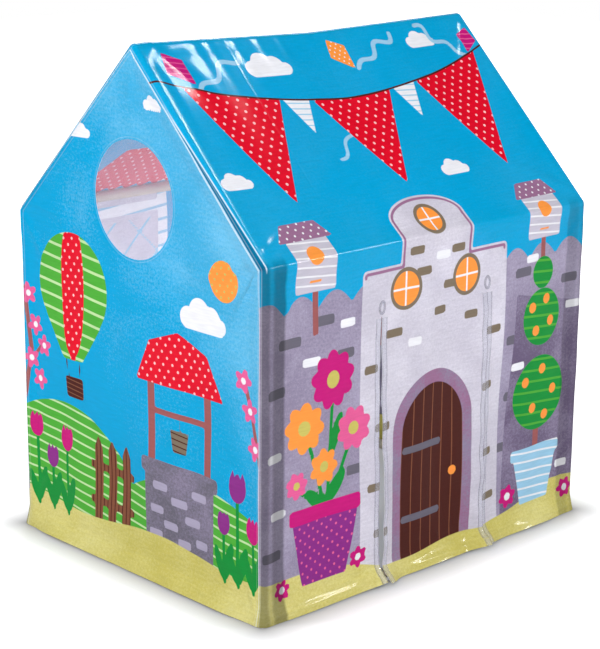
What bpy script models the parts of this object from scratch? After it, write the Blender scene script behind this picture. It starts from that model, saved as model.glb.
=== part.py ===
"""A play house for children: printed vinyl sheets stretched over a plug-together frame of plastic tubes.

X runs along the ridge, the door is in the front wall at -Y, and Z is up from the floor that the house stands on.
The frame's tubes meet in moulded corners. Tubes too long for the flat carton come in two lengths with a coupler.
"""

import math

import bmesh
import bpy
from mathutils import Quaternion, Vector

MM = 0.001

# The covered house, outside to outside
HOUSE_LENGTH = 0.940
HOUSE_WIDTH = 0.750
HOUSE_HEIGHT = 1.070
ROOF_PITCH = math.radians(45.0)

# The vinyl cover and its seams
SHEET_THICKNESS = 0.6 * MM
SHEET_TO_TUBE = 0.4 * MM
SEAM_GAP = 0.3 * MM
HEM_CLEARANCE = 0.6 * MM
FLARE_REACH = 16.0 * MM
FLARE_HEIGHT = 45.0 * MM
FLARE_RUN_IN = 70.0 * MM

# The door flap, which is cut from the front sheet by two upright slits
DOOR_WIDTH = 304.0 * MM
DOOR_HEIGHT = 555.0 * MM
SLIT_WIDTH = 6.0 * MM
FOLD_GAP_BELOW = 0.2 * MM
FOLD_GAP_ABOVE = 0.7 * MM

# Clear film: the strips welded beside the slits, the rings that stop them and the round windows
FILM_THICKNESS = 0.4 * MM
WELD_GAP = 0.3 * MM
STRIP_WIDTH = 14.0 * MM
STRIP_TO_FOLD = 3.0 * MM
RING_HALF_WIDTH = 10.0 * MM
RING_HALF_HEIGHT = 15.0 * MM
RING_BAND = 6.0 * MM
RING_TO_FOLD = 3.0 * MM
WINDOW_RADIUS = 117.5 * MM
WINDOW_BELOW_RIDGE = 300.0 * MM
WINDOW_LAP = 8.0 * MM

# Tubes, and the moulded pieces that plug into them
TUBE_RADIUS = 11.0 * MM
TUBE_WALL = 1.4 * MM
SPIGOT_CLEARANCE = 0.3 * MM
SPIGOT_LENGTH = 30.0 * MM
SPIGOT_CHAMFER = 1.5 * MM
END_GAP = 0.3 * MM
ARM_ROOT = 1.0 * MM
ARM_LENGTH = 17.0 * MM
ARM_STEP = 0.8 * MM
COLLAR_WIDTH = 4.0 * MM
FOOT_RADIUS = 9.0 * MM
FOOT_DROP = 1.0 * MM
FOOT_DEPTH = 5.0 * MM

# How finely round shapes are cut into flats
TUBE_SIDES = 16
BALL_RINGS = 8
WINDOW_SIDES = 48
RING_SIDES = 24
FOLD_STEPS = 4
CORNER_STEPS = 4
FLARE_STEPS = 4
RUN_IN_STEPS = 3

# Places that follow from the sizes above
FOLD_RADIUS = TUBE_RADIUS + SHEET_TO_TUBE + SHEET_THICKNESS
POST_X = HOUSE_LENGTH / 2 - FOLD_RADIUS
POST_Y = HOUSE_WIDTH / 2 - FOLD_RADIUS
RIDGE_Z = HOUSE_HEIGHT - FOLD_RADIUS
EAVE_Z = RIDGE_Z - POST_Y * math.tan(ROOF_PITCH)
BASE_Z = TUBE_RADIUS + FOOT_DROP
WINDOW_Z = HOUSE_HEIGHT - WINDOW_BELOW_RIDGE
OPENING_HALF = DOOR_WIDTH / 2 + SLIT_WIDTH
BORE_RADIUS = TUBE_RADIUS - TUBE_WALL
SPIGOT_RADIUS = BORE_RADIUS - SPIGOT_CLEARANCE

# How the meshes are finished
MERGE_DISTANCE = 0.002 * MM
SMOOTH_ANGLE = math.radians(35.0)
CUT_OVERRUN = 1.0 * MM

LEFT, RIGHT = -1, 1
FRONT, BACK = -1, 1


def clear_scene():
    for obj in list(bpy.data.objects):
        bpy.data.objects.remove(obj)


def plain_material(name, colour, roughness, alpha=1.0):
    material = bpy.data.materials.new(name)
    material.use_nodes = True
    shader = material.node_tree.nodes["Principled BSDF"]
    shader.inputs["Base Color"].default_value = (*colour, 1.0)
    shader.inputs["Roughness"].default_value = roughness
    shader.inputs["Metallic"].default_value = 0.0
    shader.inputs["Alpha"].default_value = alpha
    return material


def place_object(name, mesh, material, location=(0, 0, 0), direction=None, parent=None):
    obj = bpy.data.objects.new(name, mesh)
    bpy.context.scene.collection.objects.link(obj)
    obj.parent = parent
    obj.location = location
    if direction is not None:
        obj.rotation_mode = "QUATERNION"
        obj.rotation_quaternion = turn_to(direction)
    if not mesh.materials:
        mesh.materials.append(material)
    return obj


def turn_to(direction):
    """The rotation that carries +Z to this direction.

    Pieces along X are also turned by half a flat, so their edges never run into those of the arms that they meet."""
    direction = Vector(direction).normalized()
    turn = Vector((0, 0, 1)).rotation_difference(direction)
    if abs(direction.x) > abs(direction.y) + abs(direction.z):
        turn = turn @ Quaternion((0, 0, 1), math.pi / TUBE_SIDES)
    return turn


def finish_mesh(bm, name):
    bmesh.ops.remove_doubles(bm, verts=bm.verts[:], dist=MERGE_DISTANCE)
    bmesh.ops.recalc_face_normals(bm, faces=bm.faces[:])
    mesh = bpy.data.meshes.new(name)
    bm.to_mesh(mesh)
    bm.free()
    smooth_round_faces(mesh)
    return mesh


def smooth_round_faces(mesh):
    mesh.shade_smooth()
    mesh.set_sharp_from_angle(angle=SMOOTH_ANGLE)


# Turned pieces: tubes, couplers and the arms of the corners


def turned_mesh(name, profile, closed=False):
    """A profile of (radius, height) points, spun about Z."""
    bm = bmesh.new()
    verts = [bm.verts.new((radius, 0, height)) for radius, height in profile]
    edges = [bm.edges.new(pair) for pair in zip(verts, verts[1:])]
    if closed:
        edges.append(bm.edges.new((verts[-1], verts[0])))
    bmesh.ops.spin(
        bm,
        geom=verts + edges,
        cent=(0, 0, 0),
        axis=(0, 0, 1),
        angle=math.tau,
        steps=TUBE_SIDES,
        use_merge=True,
    )
    return finish_mesh(bm, name)


def tube_mesh(length):
    """A plain tube, open at both ends, standing on Z."""
    wall = [(TUBE_RADIUS, 0), (TUBE_RADIUS, length), (BORE_RADIUS, length), (BORE_RADIUS, 0)]
    return turned_mesh("tube", wall, closed=True)


def spigot_points(start):
    """The outline of a spigot from its root at this height up to its tip on the axis."""
    tip = start + SPIGOT_LENGTH
    return [
        (SPIGOT_RADIUS, start),
        (SPIGOT_RADIUS, tip - SPIGOT_CHAMFER),
        (SPIGOT_RADIUS - SPIGOT_CHAMFER, tip),
        (0, tip),
    ]


def coupler_mesh():
    """A collar as wide as the tube, with a spigot on each side."""
    upper = [(TUBE_RADIUS, COLLAR_WIDTH / 2)] + spigot_points(COLLAR_WIDTH / 2)
    lower = [(radius, -height) for radius, height in reversed(upper)]
    return turned_mesh("coupler", lower + upper)


def arm_mesh():
    """One arm of a corner, from the corner's centre to the tip of its spigot."""
    radius = TUBE_RADIUS - ARM_STEP
    neck = [(0, ARM_ROOT), (radius, ARM_ROOT), (radius, ARM_LENGTH)]
    return turned_mesh("arm", neck + spigot_points(ARM_LENGTH))


def ball_mesh():
    bm = bmesh.new()
    bmesh.ops.create_uvsphere(bm, u_segments=TUBE_SIDES, v_segments=BALL_RINGS, radius=TUBE_RADIUS)
    return finish_mesh(bm, "ball")


def foot_mesh():
    """The flat round foot under a floor corner, measured from the corner's centre."""
    disc = [(0, -BASE_Z), (FOOT_RADIUS, -BASE_Z), (FOOT_RADIUS, FOOT_DEPTH - BASE_Z), (0, FOOT_DEPTH - BASE_Z)]
    return turned_mesh("foot", disc)


def joined_mesh(name, base, others):
    """The union of a base mesh with others, each given as (mesh, direction)."""
    body = bpy.data.objects.new(name, base)
    bpy.context.scene.collection.objects.link(body)
    helpers = []
    for mesh, direction in others:
        helper = place_object(name + "_helper", mesh, None, direction=direction)
        union = body.modifiers.new("join", "BOOLEAN")
        union.operation = "UNION"
        union.object = helper
        helpers.append(helper)
    bpy.context.view_layer.update()
    graph = bpy.context.evaluated_depsgraph_get()
    mesh = bpy.data.meshes.new_from_object(body.evaluated_get(graph))
    for helper in helpers + [body]:
        bpy.data.objects.remove(helper)
    mesh.name = name
    mesh.materials.clear()
    smooth_round_faces(mesh)
    return mesh


def corner_mesh(name, directions, foot=False):
    parts = [(arm_mesh(), direction) for direction in directions]
    if foot:
        parts.append((foot_mesh(), (0, 0, 1)))
    return joined_mesh(name, ball_mesh(), parts)


# The frame


def slope(side):
    """The direction up the roof from the eave on this side."""
    return Vector((0, -side * math.cos(ROOF_PITCH), math.sin(ROOF_PITCH)))


def add_tube(name, start, end, material):
    """A tube between the ends of two corners' arms, or of a corner and a coupler."""
    run = Vector(end) - Vector(start)
    place_object(name, tube_mesh(run.length), material, start, run)


def add_split_run(names, coupler_name, start, end, tube_material, coupler_material):
    """Two tube lengths with a coupler between them, filling the run between two corner centres."""
    start, end = Vector(start), Vector(end)
    along = (end - start).normalized()
    middle = (start + end) / 2
    arm = along * (ARM_LENGTH + END_GAP)
    collar = along * (COLLAR_WIDTH / 2 + END_GAP)
    add_tube(names[0], start + arm, middle - collar, tube_material)
    add_tube(names[1], middle + collar, end - arm, tube_material)
    place_object(coupler_name, coupler_mesh(), coupler_material, middle, along)


def build_frame(tube_material, joint_material):
    side_names = {FRONT: "front", BACK: "back"}
    end_names = {LEFT: "left", RIGHT: "right"}
    for side, side_name in side_names.items():
        y = side * POST_Y
        for level, z in (("base", BASE_Z), ("eave", EAVE_Z)):
            add_split_run(
                [f"{level}_rail_{side_name}_left", f"{level}_rail_{side_name}_right"],
                f"{level}_coupler_{side_name}",
                (-POST_X, y, z),
                (POST_X, y, z),
                tube_material,
                joint_material,
            )
        for end, end_name in end_names.items():
            x = end * POST_X
            add_split_run(
                [f"post_{side_name}_{end_name}_lower", f"post_{side_name}_{end_name}_upper"],
                f"post_coupler_{side_name}_{end_name}",
                (x, y, BASE_Z),
                (x, y, EAVE_Z),
                tube_material,
                joint_material,
            )
            eave, ridge = Vector((x, y, EAVE_Z)), Vector((x, 0, RIDGE_Z))
            arm = slope(side) * (ARM_LENGTH + END_GAP)
            add_tube(f"rafter_{side_name}_{end_name}", eave + arm, ridge - arm, tube_material)
    add_split_run(
        ["ridge_rail_left", "ridge_rail_right"],
        "ridge_coupler",
        (-POST_X, 0, RIDGE_Z),
        (POST_X, 0, RIDGE_Z),
        tube_material,
        joint_material,
    )
    for end, end_name in end_names.items():
        add_split_run(
            [f"base_rail_{end_name}_front", f"base_rail_{end_name}_back"],
            f"base_coupler_{end_name}",
            (end * POST_X, -POST_Y, BASE_Z),
            (end * POST_X, POST_Y, BASE_Z),
            tube_material,
            joint_material,
        )
    build_corners(side_names, end_names, joint_material)


def build_corners(side_names, end_names, material):
    up, down = (0, 0, 1), (0, 0, -1)
    for end, end_name in end_names.items():
        inward_x = (-end, 0, 0)
        for side, side_name in side_names.items():
            floor = corner_mesh("floor_corner", [inward_x, (0, -side, 0), up], foot=True)
            eave = corner_mesh("eave_corner", [inward_x, down, slope(side)])
            x, y = end * POST_X, side * POST_Y
            place_object(f"base_corner_{side_name}_{end_name}", floor, material, (x, y, BASE_Z))
            place_object(f"eave_corner_{side_name}_{end_name}", eave, material, (x, y, EAVE_Z))
        ridge = corner_mesh("ridge_corner", [inward_x, -slope(FRONT), -slope(BACK)])
        place_object(f"ridge_corner_{end_name}", ridge, material, (end * POST_X, 0, RIDGE_Z))


# The cover


def eased(share):
    """A share from 0 to 1 with a smooth start and end."""
    share = min(max(share, 0.0), 1.0)
    return share * share * (3 - 2 * share)


def flare_share(distance_to_corner):
    """How much of the hem's outward flare there is at this distance from the nearest post."""
    return eased(distance_to_corner / FLARE_RUN_IN)


def hem_rows():
    """(height, share of the flare) from the hem up to where the wall is upright."""
    rows = []
    for step in range(FLARE_STEPS + 1):
        share = step / FLARE_STEPS
        rows.append((HEM_CLEARANCE + share * (FLARE_HEIGHT - HEM_CLEARANCE), (1 - share) ** 2))
    return rows


def arc_points(centre, radius, start, end):
    """Points (y, z) on an arc, both ends included."""
    found = []
    for step in range(FOLD_STEPS + 1):
        angle = start + (end - start) * step / FOLD_STEPS
        found.append((centre[0] + radius * math.cos(angle), centre[1] + radius * math.sin(angle)))
    return found


def side_path(depth, flare):
    """Points (y, z) up the front wall, over the eave and up the roof to the ridge, this far inside the outer face."""
    outer = HOUSE_WIDTH / 2 - depth
    path = [(-outer - flare * share, z) for z, share in hem_rows()]
    path.append((-outer, DOOR_HEIGHT + FOLD_GAP_ABOVE))
    radius = FOLD_RADIUS - depth
    roof_normal = math.pi / 2 + ROOF_PITCH
    path += arc_points((-POST_Y, EAVE_Z), radius, math.pi, roof_normal)
    ridge = arc_points((0, RIDGE_Z), radius, roof_normal, math.pi / 2)
    return path + [(min(y, -SEAM_GAP / 2), z) for y, z in ridge]


def side_columns(inset):
    """(x, depth, flare share) across the front sheet, from seam to seam round both front posts.

    inset is how far the layer lies inside the outer face, measured square to it."""
    radius = FOLD_RADIUS - inset
    half = []
    for step in range(CORNER_STEPS):
        angle = math.pi / 2 * step / CORNER_STEPS
        half.append((POST_X + radius * math.cos(angle), FOLD_RADIUS - radius * math.sin(angle), 0.0))
    for step in range(RUN_IN_STEPS + 1):
        distance = FLARE_RUN_IN * step / RUN_IN_STEPS
        half.append((POST_X - distance, inset, flare_share(distance)))
    half.append((OPENING_HALF, inset, 1.0))
    left = [(-x, depth, share) for x, depth, share in half]
    return left + half[::-1]


def sheet_mesh(name, layers, cut=None):
    """A sheet between two layers of points, each layers[n][column][row]. cut(column, row) says which cells are left out."""
    columns, rows = len(layers[0]), len(layers[0][0])
    bm = bmesh.new()
    bmesh.ops.create_grid(bm, x_segments=columns - 1, y_segments=rows - 1, size=1.0)
    column_of = bm.verts.layers.int.new("column")
    row_of = bm.verts.layers.int.new("row")
    for vert in bm.verts:
        vert[column_of] = round((vert.co.x + 1) / 2 * (columns - 1))
        vert[row_of] = round((vert.co.y + 1) / 2 * (rows - 1))
    if cut:
        gone = []
        for face in bm.faces:
            column = min(vert[column_of] for vert in face.verts)
            row = min(vert[row_of] for vert in face.verts)
            if cut(column, row):
                gone.append(face)
        bmesh.ops.delete(bm, geom=gone, context="FACES")
    first = list(bm.verts)
    bmesh.ops.extrude_face_region(bm, geom=bm.faces[:], use_keep_orig=True)
    outer = set(first)
    for vert in bm.verts:
        layer = layers[0] if vert in outer else layers[1]
        vert.co = layer[vert[column_of]][vert[row_of]]
    return finish_mesh(bm, name)


def side_layer(side, inset):
    """Points of one layer of the front or back sheet."""
    layer = []
    for x, depth, share in side_columns(inset):
        path = side_path(depth, FLARE_REACH * share)
        layer.append([Vector((x, -side * y, z)) for y, z in path])
    return layer


def build_side_sheet(name, side, material, with_door):
    layers = [side_layer(side, 0.0), side_layer(side, SHEET_THICKNESS)]
    middle = len(layers[0]) // 2 - 1
    top_row = FLARE_STEPS + 1

    def in_doorway(column, row):
        return column == middle and row < top_row

    place_object(name, sheet_mesh(name, layers, in_doorway if with_door else None), material)


def gable_layer(end, inset):
    """Points of one layer of a gable sheet, between the seams on the two posts and the two rafters."""
    edge = POST_Y - SEAM_GAP
    run_in = [FLARE_RUN_IN * step / RUN_IN_STEPS for step in range(RUN_IN_STEPS + 1)]
    half = [edge - distance for distance in run_in]
    places = [-y for y in half] + [0.0] + half[::-1]
    layer = []
    for y in places:
        roof = RIDGE_Z - abs(y) * math.tan(ROOF_PITCH) - SEAM_GAP / math.cos(ROOF_PITCH)
        shoulder = RIDGE_Z - edge * math.tan(ROOF_PITCH) - SEAM_GAP / math.cos(ROOF_PITCH)
        flare = FLARE_REACH * flare_share(edge - abs(y))
        x = HOUSE_LENGTH / 2 - inset
        column = [Vector((end * (x + flare * share), y, z)) for z, share in hem_rows()]
        column.append(Vector((end * x, y, shoulder)))
        column.append(Vector((end * x, y, roof)))
        layer.append(column)
    return layer


def disc_mesh(name, radius_y, radius_z, thickness, sides, hole_band=None):
    """A flat oval on the YZ plane, or an oval band, this thick along X and centred on X."""
    bm = bmesh.new()
    sizes = [(radius_y, radius_z)]
    if hole_band:
        sizes.append((radius_y - hole_band, radius_z - hole_band))
    for size_y, size_z in sizes:
        ring = bmesh.ops.create_circle(bm, cap_ends=not hole_band, radius=1.0, segments=sides)["verts"]
        for vert in ring:
            vert.co = Vector((-thickness / 2, vert.co.x * size_y, vert.co.y * size_z))
    if hole_band:
        bmesh.ops.bridge_loops(bm, edges=bm.edges[:])
    grown = bmesh.ops.extrude_face_region(bm, geom=bm.faces[:], use_keep_orig=True)["geom"]
    moved = [item for item in grown if isinstance(item, bmesh.types.BMVert)]
    bmesh.ops.translate(bm, verts=moved, vec=(thickness, 0, 0))
    return finish_mesh(bm, name)


def build_gable(end_name, end, sheet_material, film_material):
    name = f"gable_sheet_{end_name}"
    layers = [gable_layer(end, 0.0), gable_layer(end, SHEET_THICKNESS)]
    sheet = place_object(name, sheet_mesh(name, layers), sheet_material)
    face_x = end * (HOUSE_LENGTH / 2 - SHEET_THICKNESS / 2)
    cut_through = SHEET_THICKNESS + 2 * CUT_OVERRUN
    cutter_mesh = disc_mesh("window_cutter", WINDOW_RADIUS, WINDOW_RADIUS, cut_through, WINDOW_SIDES)
    cutter = place_object(name + "_cutter", cutter_mesh, sheet_material, (face_x, 0, WINDOW_Z))
    cutter.hide_render = True
    cutter.display_type = "WIRE"
    window = sheet.modifiers.new("window", "BOOLEAN")
    window.operation = "DIFFERENCE"
    window.object = cutter
    radius = WINDOW_RADIUS + WINDOW_LAP
    pane = disc_mesh("window_pane", radius, radius, FILM_THICKNESS, WINDOW_SIDES)
    pane_x = end * (HOUSE_LENGTH / 2 - SHEET_THICKNESS - WELD_GAP - FILM_THICKNESS / 2)
    place_object(f"window_pane_{end_name}", pane, film_material, (pane_x, 0, WINDOW_Z))


def front_patch(left, right, top, insets, origin):
    """A flat stretch of the front wall down to the hem, between two layers, measured from the origin."""
    layers = []
    for inset in insets:
        y = -HOUSE_WIDTH / 2 + inset
        column = [(y - FLARE_REACH * share, z) for z, share in hem_rows()] + [(y, top)]
        layers.append([[Vector((x, *point)) - origin for point in column] for x in (left, right)])
    return layers


def build_door(sheet_material, film_material):
    """The flap hangs from its fold, so the flap and its strips have their origin on that line."""
    hinge = bpy.data.objects.new("door_fold", None)
    bpy.context.scene.collection.objects.link(hinge)
    origin = Vector((0, -HOUSE_WIDTH / 2 + SHEET_THICKNESS / 2, DOOR_HEIGHT))
    hinge.location = origin
    half = DOOR_WIDTH / 2
    flap = front_patch(-half, half, DOOR_HEIGHT - FOLD_GAP_BELOW, (0.0, SHEET_THICKNESS), origin)
    place_object("door_flap", sheet_mesh("door_flap", flap), sheet_material, parent=hinge)
    film = (-WELD_GAP - FILM_THICKNESS, -WELD_GAP)
    top = DOOR_HEIGHT - STRIP_TO_FOLD
    for end, end_name in ((LEFT, "left"), (RIGHT, "right")):
        on_flap = sorted((end * half, end * (half - STRIP_WIDTH)))
        mesh = sheet_mesh("door_strip", front_patch(*on_flap, top, film, origin))
        place_object(f"door_strip_{end_name}", mesh, film_material, parent=hinge)
        on_wall = sorted((end * OPENING_HALF, end * (OPENING_HALF + STRIP_WIDTH)))
        mesh = sheet_mesh("wall_strip", front_patch(*on_wall, top, film, Vector((0, 0, 0))))
        place_object(f"wall_strip_{end_name}", mesh, film_material)
        ring = disc_mesh("slit_ring", RING_HALF_WIDTH, RING_HALF_HEIGHT, FILM_THICKNESS, RING_SIDES, RING_BAND)
        centre = (
            end * (OPENING_HALF - SLIT_WIDTH / 2),
            -HOUSE_WIDTH / 2 - WELD_GAP - FILM_THICKNESS / 2,
            DOOR_HEIGHT + RING_TO_FOLD + RING_HALF_HEIGHT,
        )
        ring_object = place_object(f"slit_ring_{end_name}", ring, film_material, centre)
        ring_object.rotation_euler = (0, 0, math.pi / 2)


def build_cover(sheet_material, film_material):
    build_side_sheet("front_sheet", FRONT, sheet_material, with_door=True)
    build_side_sheet("back_sheet", BACK, sheet_material, with_door=False)
    build_gable("left", LEFT, sheet_material, film_material)
    build_gable("right", RIGHT, sheet_material, film_material)
    build_door(sheet_material, film_material)


def main():
    clear_scene()
    vinyl = plain_material("printed_vinyl", (0.02, 0.38, 0.72), 0.3)
    film = plain_material("clear_film", (0.80, 0.80, 0.86), 0.15, alpha=0.4)
    tube = plain_material("tube_plastic", (0.62, 0.55, 0.47), 0.45)
    joint = plain_material("joint_plastic", (0.30, 0.31, 0.33), 0.5)
    build_frame(tube, joint)
    build_cover(vinyl, film)


main()
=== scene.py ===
"""Looks of the kids play tent: printed vinyl sheets over a frame of thin tubes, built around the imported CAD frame."""

import math

import bmesh
import bpy
import numpy as np
from mathutils import Matrix, Vector


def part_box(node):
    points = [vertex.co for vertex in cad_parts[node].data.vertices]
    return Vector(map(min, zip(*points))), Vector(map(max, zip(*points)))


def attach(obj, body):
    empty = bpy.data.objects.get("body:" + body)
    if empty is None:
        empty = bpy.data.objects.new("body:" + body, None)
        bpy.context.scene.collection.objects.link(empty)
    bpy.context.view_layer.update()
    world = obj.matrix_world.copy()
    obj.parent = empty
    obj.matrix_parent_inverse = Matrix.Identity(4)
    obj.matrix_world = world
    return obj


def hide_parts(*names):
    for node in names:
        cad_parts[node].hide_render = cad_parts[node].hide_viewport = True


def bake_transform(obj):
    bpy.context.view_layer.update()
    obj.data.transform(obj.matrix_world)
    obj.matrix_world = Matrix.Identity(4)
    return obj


bl_info = {
    "name": "Kids Play Tent",
    "version": (1, 0, 0),
    "blender": (4, 5, 0),
    "location": "3D View > Sidebar > Play Tent",
    "description": "Builds a play house of printed vinyl film on a tube frame",
    "category": "Object",
}

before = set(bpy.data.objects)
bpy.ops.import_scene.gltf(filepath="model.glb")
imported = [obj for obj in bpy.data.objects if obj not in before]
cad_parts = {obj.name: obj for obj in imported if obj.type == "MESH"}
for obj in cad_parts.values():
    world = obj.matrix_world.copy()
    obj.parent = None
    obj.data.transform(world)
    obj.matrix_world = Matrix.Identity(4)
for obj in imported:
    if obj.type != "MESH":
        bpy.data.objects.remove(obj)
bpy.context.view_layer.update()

PHOTO_HEIGHT = 649
SIDES = (("left", -1), ("right", 1))

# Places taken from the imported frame, in metres
_front_low, _front_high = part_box("front_sheet")
_post_low, _post_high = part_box("post_front_right_lower")
_eave_low, _eave_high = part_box("eave_rail_front_left")
_, _flap_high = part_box("door_flap")
_pane_low, _pane_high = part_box("window_pane_left")
SLIT_GAP = 0.006
PANE_LAP = 0.008
POST_X = (_post_low.x + _post_high.x) / 2
POST_Y = -(_post_low.y + _post_high.y) / 2
FOLD = _front_high.x - POST_X
EAVE_Z = (_eave_low.z + _eave_high.z) / 2
RIDGE_Z = _front_high.z - FOLD
HEM_Z = _front_low.z
TUBE_RADIUS = (_post_high.x - _post_low.x) / 2
PITCH = math.atan2(RIDGE_Z - EAVE_Z, POST_Y)
WALL_RUN = EAVE_Z - HEM_Z
EAVE_ARC = FOLD * (math.pi / 2 - PITCH)
ROOF_RUN = math.hypot(POST_Y, RIDGE_Z - EAVE_Z)
RIDGE_ARC = FOLD * PITCH
SHEET_RUN = WALL_RUN + EAVE_ARC + ROOF_RUN + RIDGE_ARC
SHEET_REACH = POST_X + FOLD * math.pi / 2
GABLE_X = POST_X + FOLD
FLAP_HALF = _flap_high.x
OPENING_HALF = FLAP_HALF + SLIT_GAP
DOOR_TOP = _flap_high.z - HEM_Z
WINDOW_Z = (_pane_low.z + _pane_high.z) / 2
PANE_RADIUS = (_pane_high.z - _pane_low.z) / 2
WINDOW_RADIUS = PANE_RADIUS - PANE_LAP


def linear(red, green, blue):
    """A screen colour given from 0 to 255, as the linear light that Blender works in."""
    shares = (red / 255, green / 255, blue / 255)
    return tuple(c / 12.92 if c <= 0.04045 else ((c + 0.055) / 1.055) ** 2.4 for c in shares)


# Sizes and colours that a user would change


def length(name, description, default):
    """A size in metres for a settings group."""
    return bpy.props.FloatProperty(
        name=name, description=description, default=default, min=0.0, subtype="DISTANCE", unit="LENGTH", precision=5
    )


def angle(name, description, degrees):
    """An angle for a settings group, given in degrees."""
    return bpy.props.FloatProperty(
        name=name, description=description, default=math.radians(degrees), subtype="ANGLE", unit="ROTATION"
    )


def paint(name, description, red, green, blue):
    """A colour for a settings group, given as on a screen."""
    return bpy.props.FloatVectorProperty(
        name=name, description=description, default=linear(red, green, blue), size=3, min=0.0, max=1.0, subtype="COLOR"
    )


class PlayTentFilm(bpy.types.PropertyGroup):
    """How the vinyl film lies on the tubes."""

    thickness: length("Film Thickness", "Thickness of the printed film", 0.0005)
    wall_wave: length("Wall Wave", "Height of the soft waves in the walls", 0.0030)
    roof_wave: length("Roof Wave", "Height of the soft waves in the roof", 0.0013)
    roof_sag: length("Roof Sag", "How far the middle of a roof slope hangs in", 0.0045)
    tube_hollow: length("Tube Hollow", "How far the film falls in beside a tube", 0.0042)
    ridge_drop: length("Ridge Drop", "How far the two ridge tubes hang at their coupler", 0.011)
    ridge_ripple: length("Ridge Ripple", "Height of the short ripples under the ridge", 0.0014)
    hem_crease: length("Hem Crease", "Height of the crease where the hem turns out", 0.045)
    hem_softness: length("Hem Softness", "Length over which the crease of the hem turns", 0.008)
    hem_angle: angle("Hem Angle", "Turn of the hem between the posts", 27)
    corner_angle: angle("Corner Angle", "Turn of the hem at the posts", 12.5)
    slit_angle: angle("Slit Angle", "Turn of the hem beside the slits of the door", 48)
    strip_width: length("Strip Width", "Width of the clear strips along the slits", 0.014)


class PlayTentPrint(bpy.types.PropertyGroup):
    """Colours of the print."""

    sky: paint("Sky", "Blue of the roof and the upper gables", 0, 168, 217)
    # On the gables these strokes also carry a painted sheen, lighter towards the upper right
    sky_light: paint("Sky Light", "Pale crayon strokes in the sky", 118, 198, 232)
    red: paint("Red", "Pennants and roofs", 226, 14, 44)
    red_dot: paint("Red Dot", "Dots on the red cloth", 250, 196, 202)
    stone: paint("Stone", "Garden wall", 150, 140, 166)
    stone_dark: paint("Stone Dark", "Shaded side of the garden wall", 112, 98, 128)
    stone_light: paint("Stone Light", "Worn faces of the garden wall", 178, 170, 194)
    pale: paint("Pale", "Cottage front", 204, 200, 213)
    pale_light: paint("Pale Light", "Chalky patches of the cottage", 224, 221, 231)
    taupe: paint("Taupe", "Dark bricks", 132, 118, 100)
    white: paint("White", "Clouds, bars and pale bricks", 238, 238, 242)
    brown: paint("Brown", "Door and wood", 80, 36, 30)
    brown_light: paint("Brown Light", "Plank lines and pickets", 138, 84, 60)
    mauve: paint("Mauve", "Door surround", 160, 115, 150)
    sand: paint("Sand", "Ground", 206, 196, 104)
    sand_light: paint("Sand Light", "Chalky patches of the ground", 224, 217, 146)
    green: paint("Green", "Hills and leaves", 84, 178, 62)
    green_light: paint("Green Light", "Stripes on the green", 198, 226, 170)
    leaf: paint("Leaf", "Strong green of stems", 22, 150, 62)
    magenta: paint("Magenta", "Flowers", 204, 26, 128)
    purple: paint("Purple", "Flower pot", 146, 50, 142)
    pink: paint("Pink", "Flowers", 230, 100, 158)
    orange: paint("Orange", "Windows and fruits", 250, 160, 72)
    ice: paint("Ice", "Ribbons and pots", 162, 208, 232)
    wood: paint("Wood", "Stems and posts", 165, 95, 95)
    grey: paint("Grey", "Shaded stone", 112, 108, 122)


class PlayTentFrame(bpy.types.PropertyGroup):
    """The tubes and their joints."""

    tube_wall: length("Tube Wall", "Wall thickness of the tubes", 0.0014)
    tube_rounding: length("Tube Rounding", "Rounding of the cut tube ends", 0.0005)
    tube_sides: bpy.props.IntProperty(name="Tube Sides", description="Flats round a tube", default=32, min=8, max=64)
    tube_colour: paint("Tube Colour", "Plastic of the tubes", 196, 182, 166)
    joint_colour: paint("Joint Colour", "Plastic of corners and couplers", 176, 162, 148)


class PlayTentStage(bpy.types.PropertyGroup):
    """Floor, light and camera."""

    aim: bpy.props.FloatVectorProperty(
        name="Aim", description="Point that the camera looks at", default=(-0.0021, 0.0140, 0.4340), size=3,
        subtype="TRANSLATION", unit="LENGTH",
    )
    azimuth: angle("Azimuth", "Turn of the camera round the tent", -44.119)
    elevation: angle("Elevation", "Height angle of the camera", 15.120)
    roll: angle("Roll", "Roll of the camera", 0.578)
    distance: length("Distance", "From the camera to the aim", 4.0227)
    focal_pixels: bpy.props.FloatProperty(
        name="Focal Length", description="Focal length in pixels of the 600 x 649 picture", default=1871.9, min=1.0
    )
    floor_colour: paint("Floor Colour", "Pale floor", 226, 226, 228)


# Small helpers for numbers


def step(value, low, high):
    """Rises smoothly from 0 at low to 1 at high."""
    t = np.clip((np.asarray(value, float) - low) / (high - low), 0.0, 1.0)
    return t * t * (3 - 2 * t)


def hump(value, middle, half):
    """A smooth hump of height 1 at middle that ends half to each side."""
    return 1 - step(np.abs(np.asarray(value, float) - middle), 0.0, half)


def bell(value, middle, width):
    """A bell of height 1 at middle."""
    return np.exp(-(((value - middle) / width) ** 2))


def waves(across, along, seed, shortest, longest, lean=1.0, count=9):
    """Soft waves of about unit height, from sines with fixed directions. A lean over 1 draws them out along."""
    source = np.random.RandomState(seed)
    total, power = 0.0, 0.0
    for _ in range(count):
        size = shortest * (longest / shortest) ** source.rand()
        turn = source.rand() * math.pi
        phase = source.rand() * 2 * math.pi
        height = (size / longest) ** 0.9
        place = across * math.cos(turn) + along * math.sin(turn) / lean
        total = total + height * np.sin(2 * math.pi / size * place + phase)
        power += height * height / 2
    return total / math.sqrt(power) * 0.7


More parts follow.
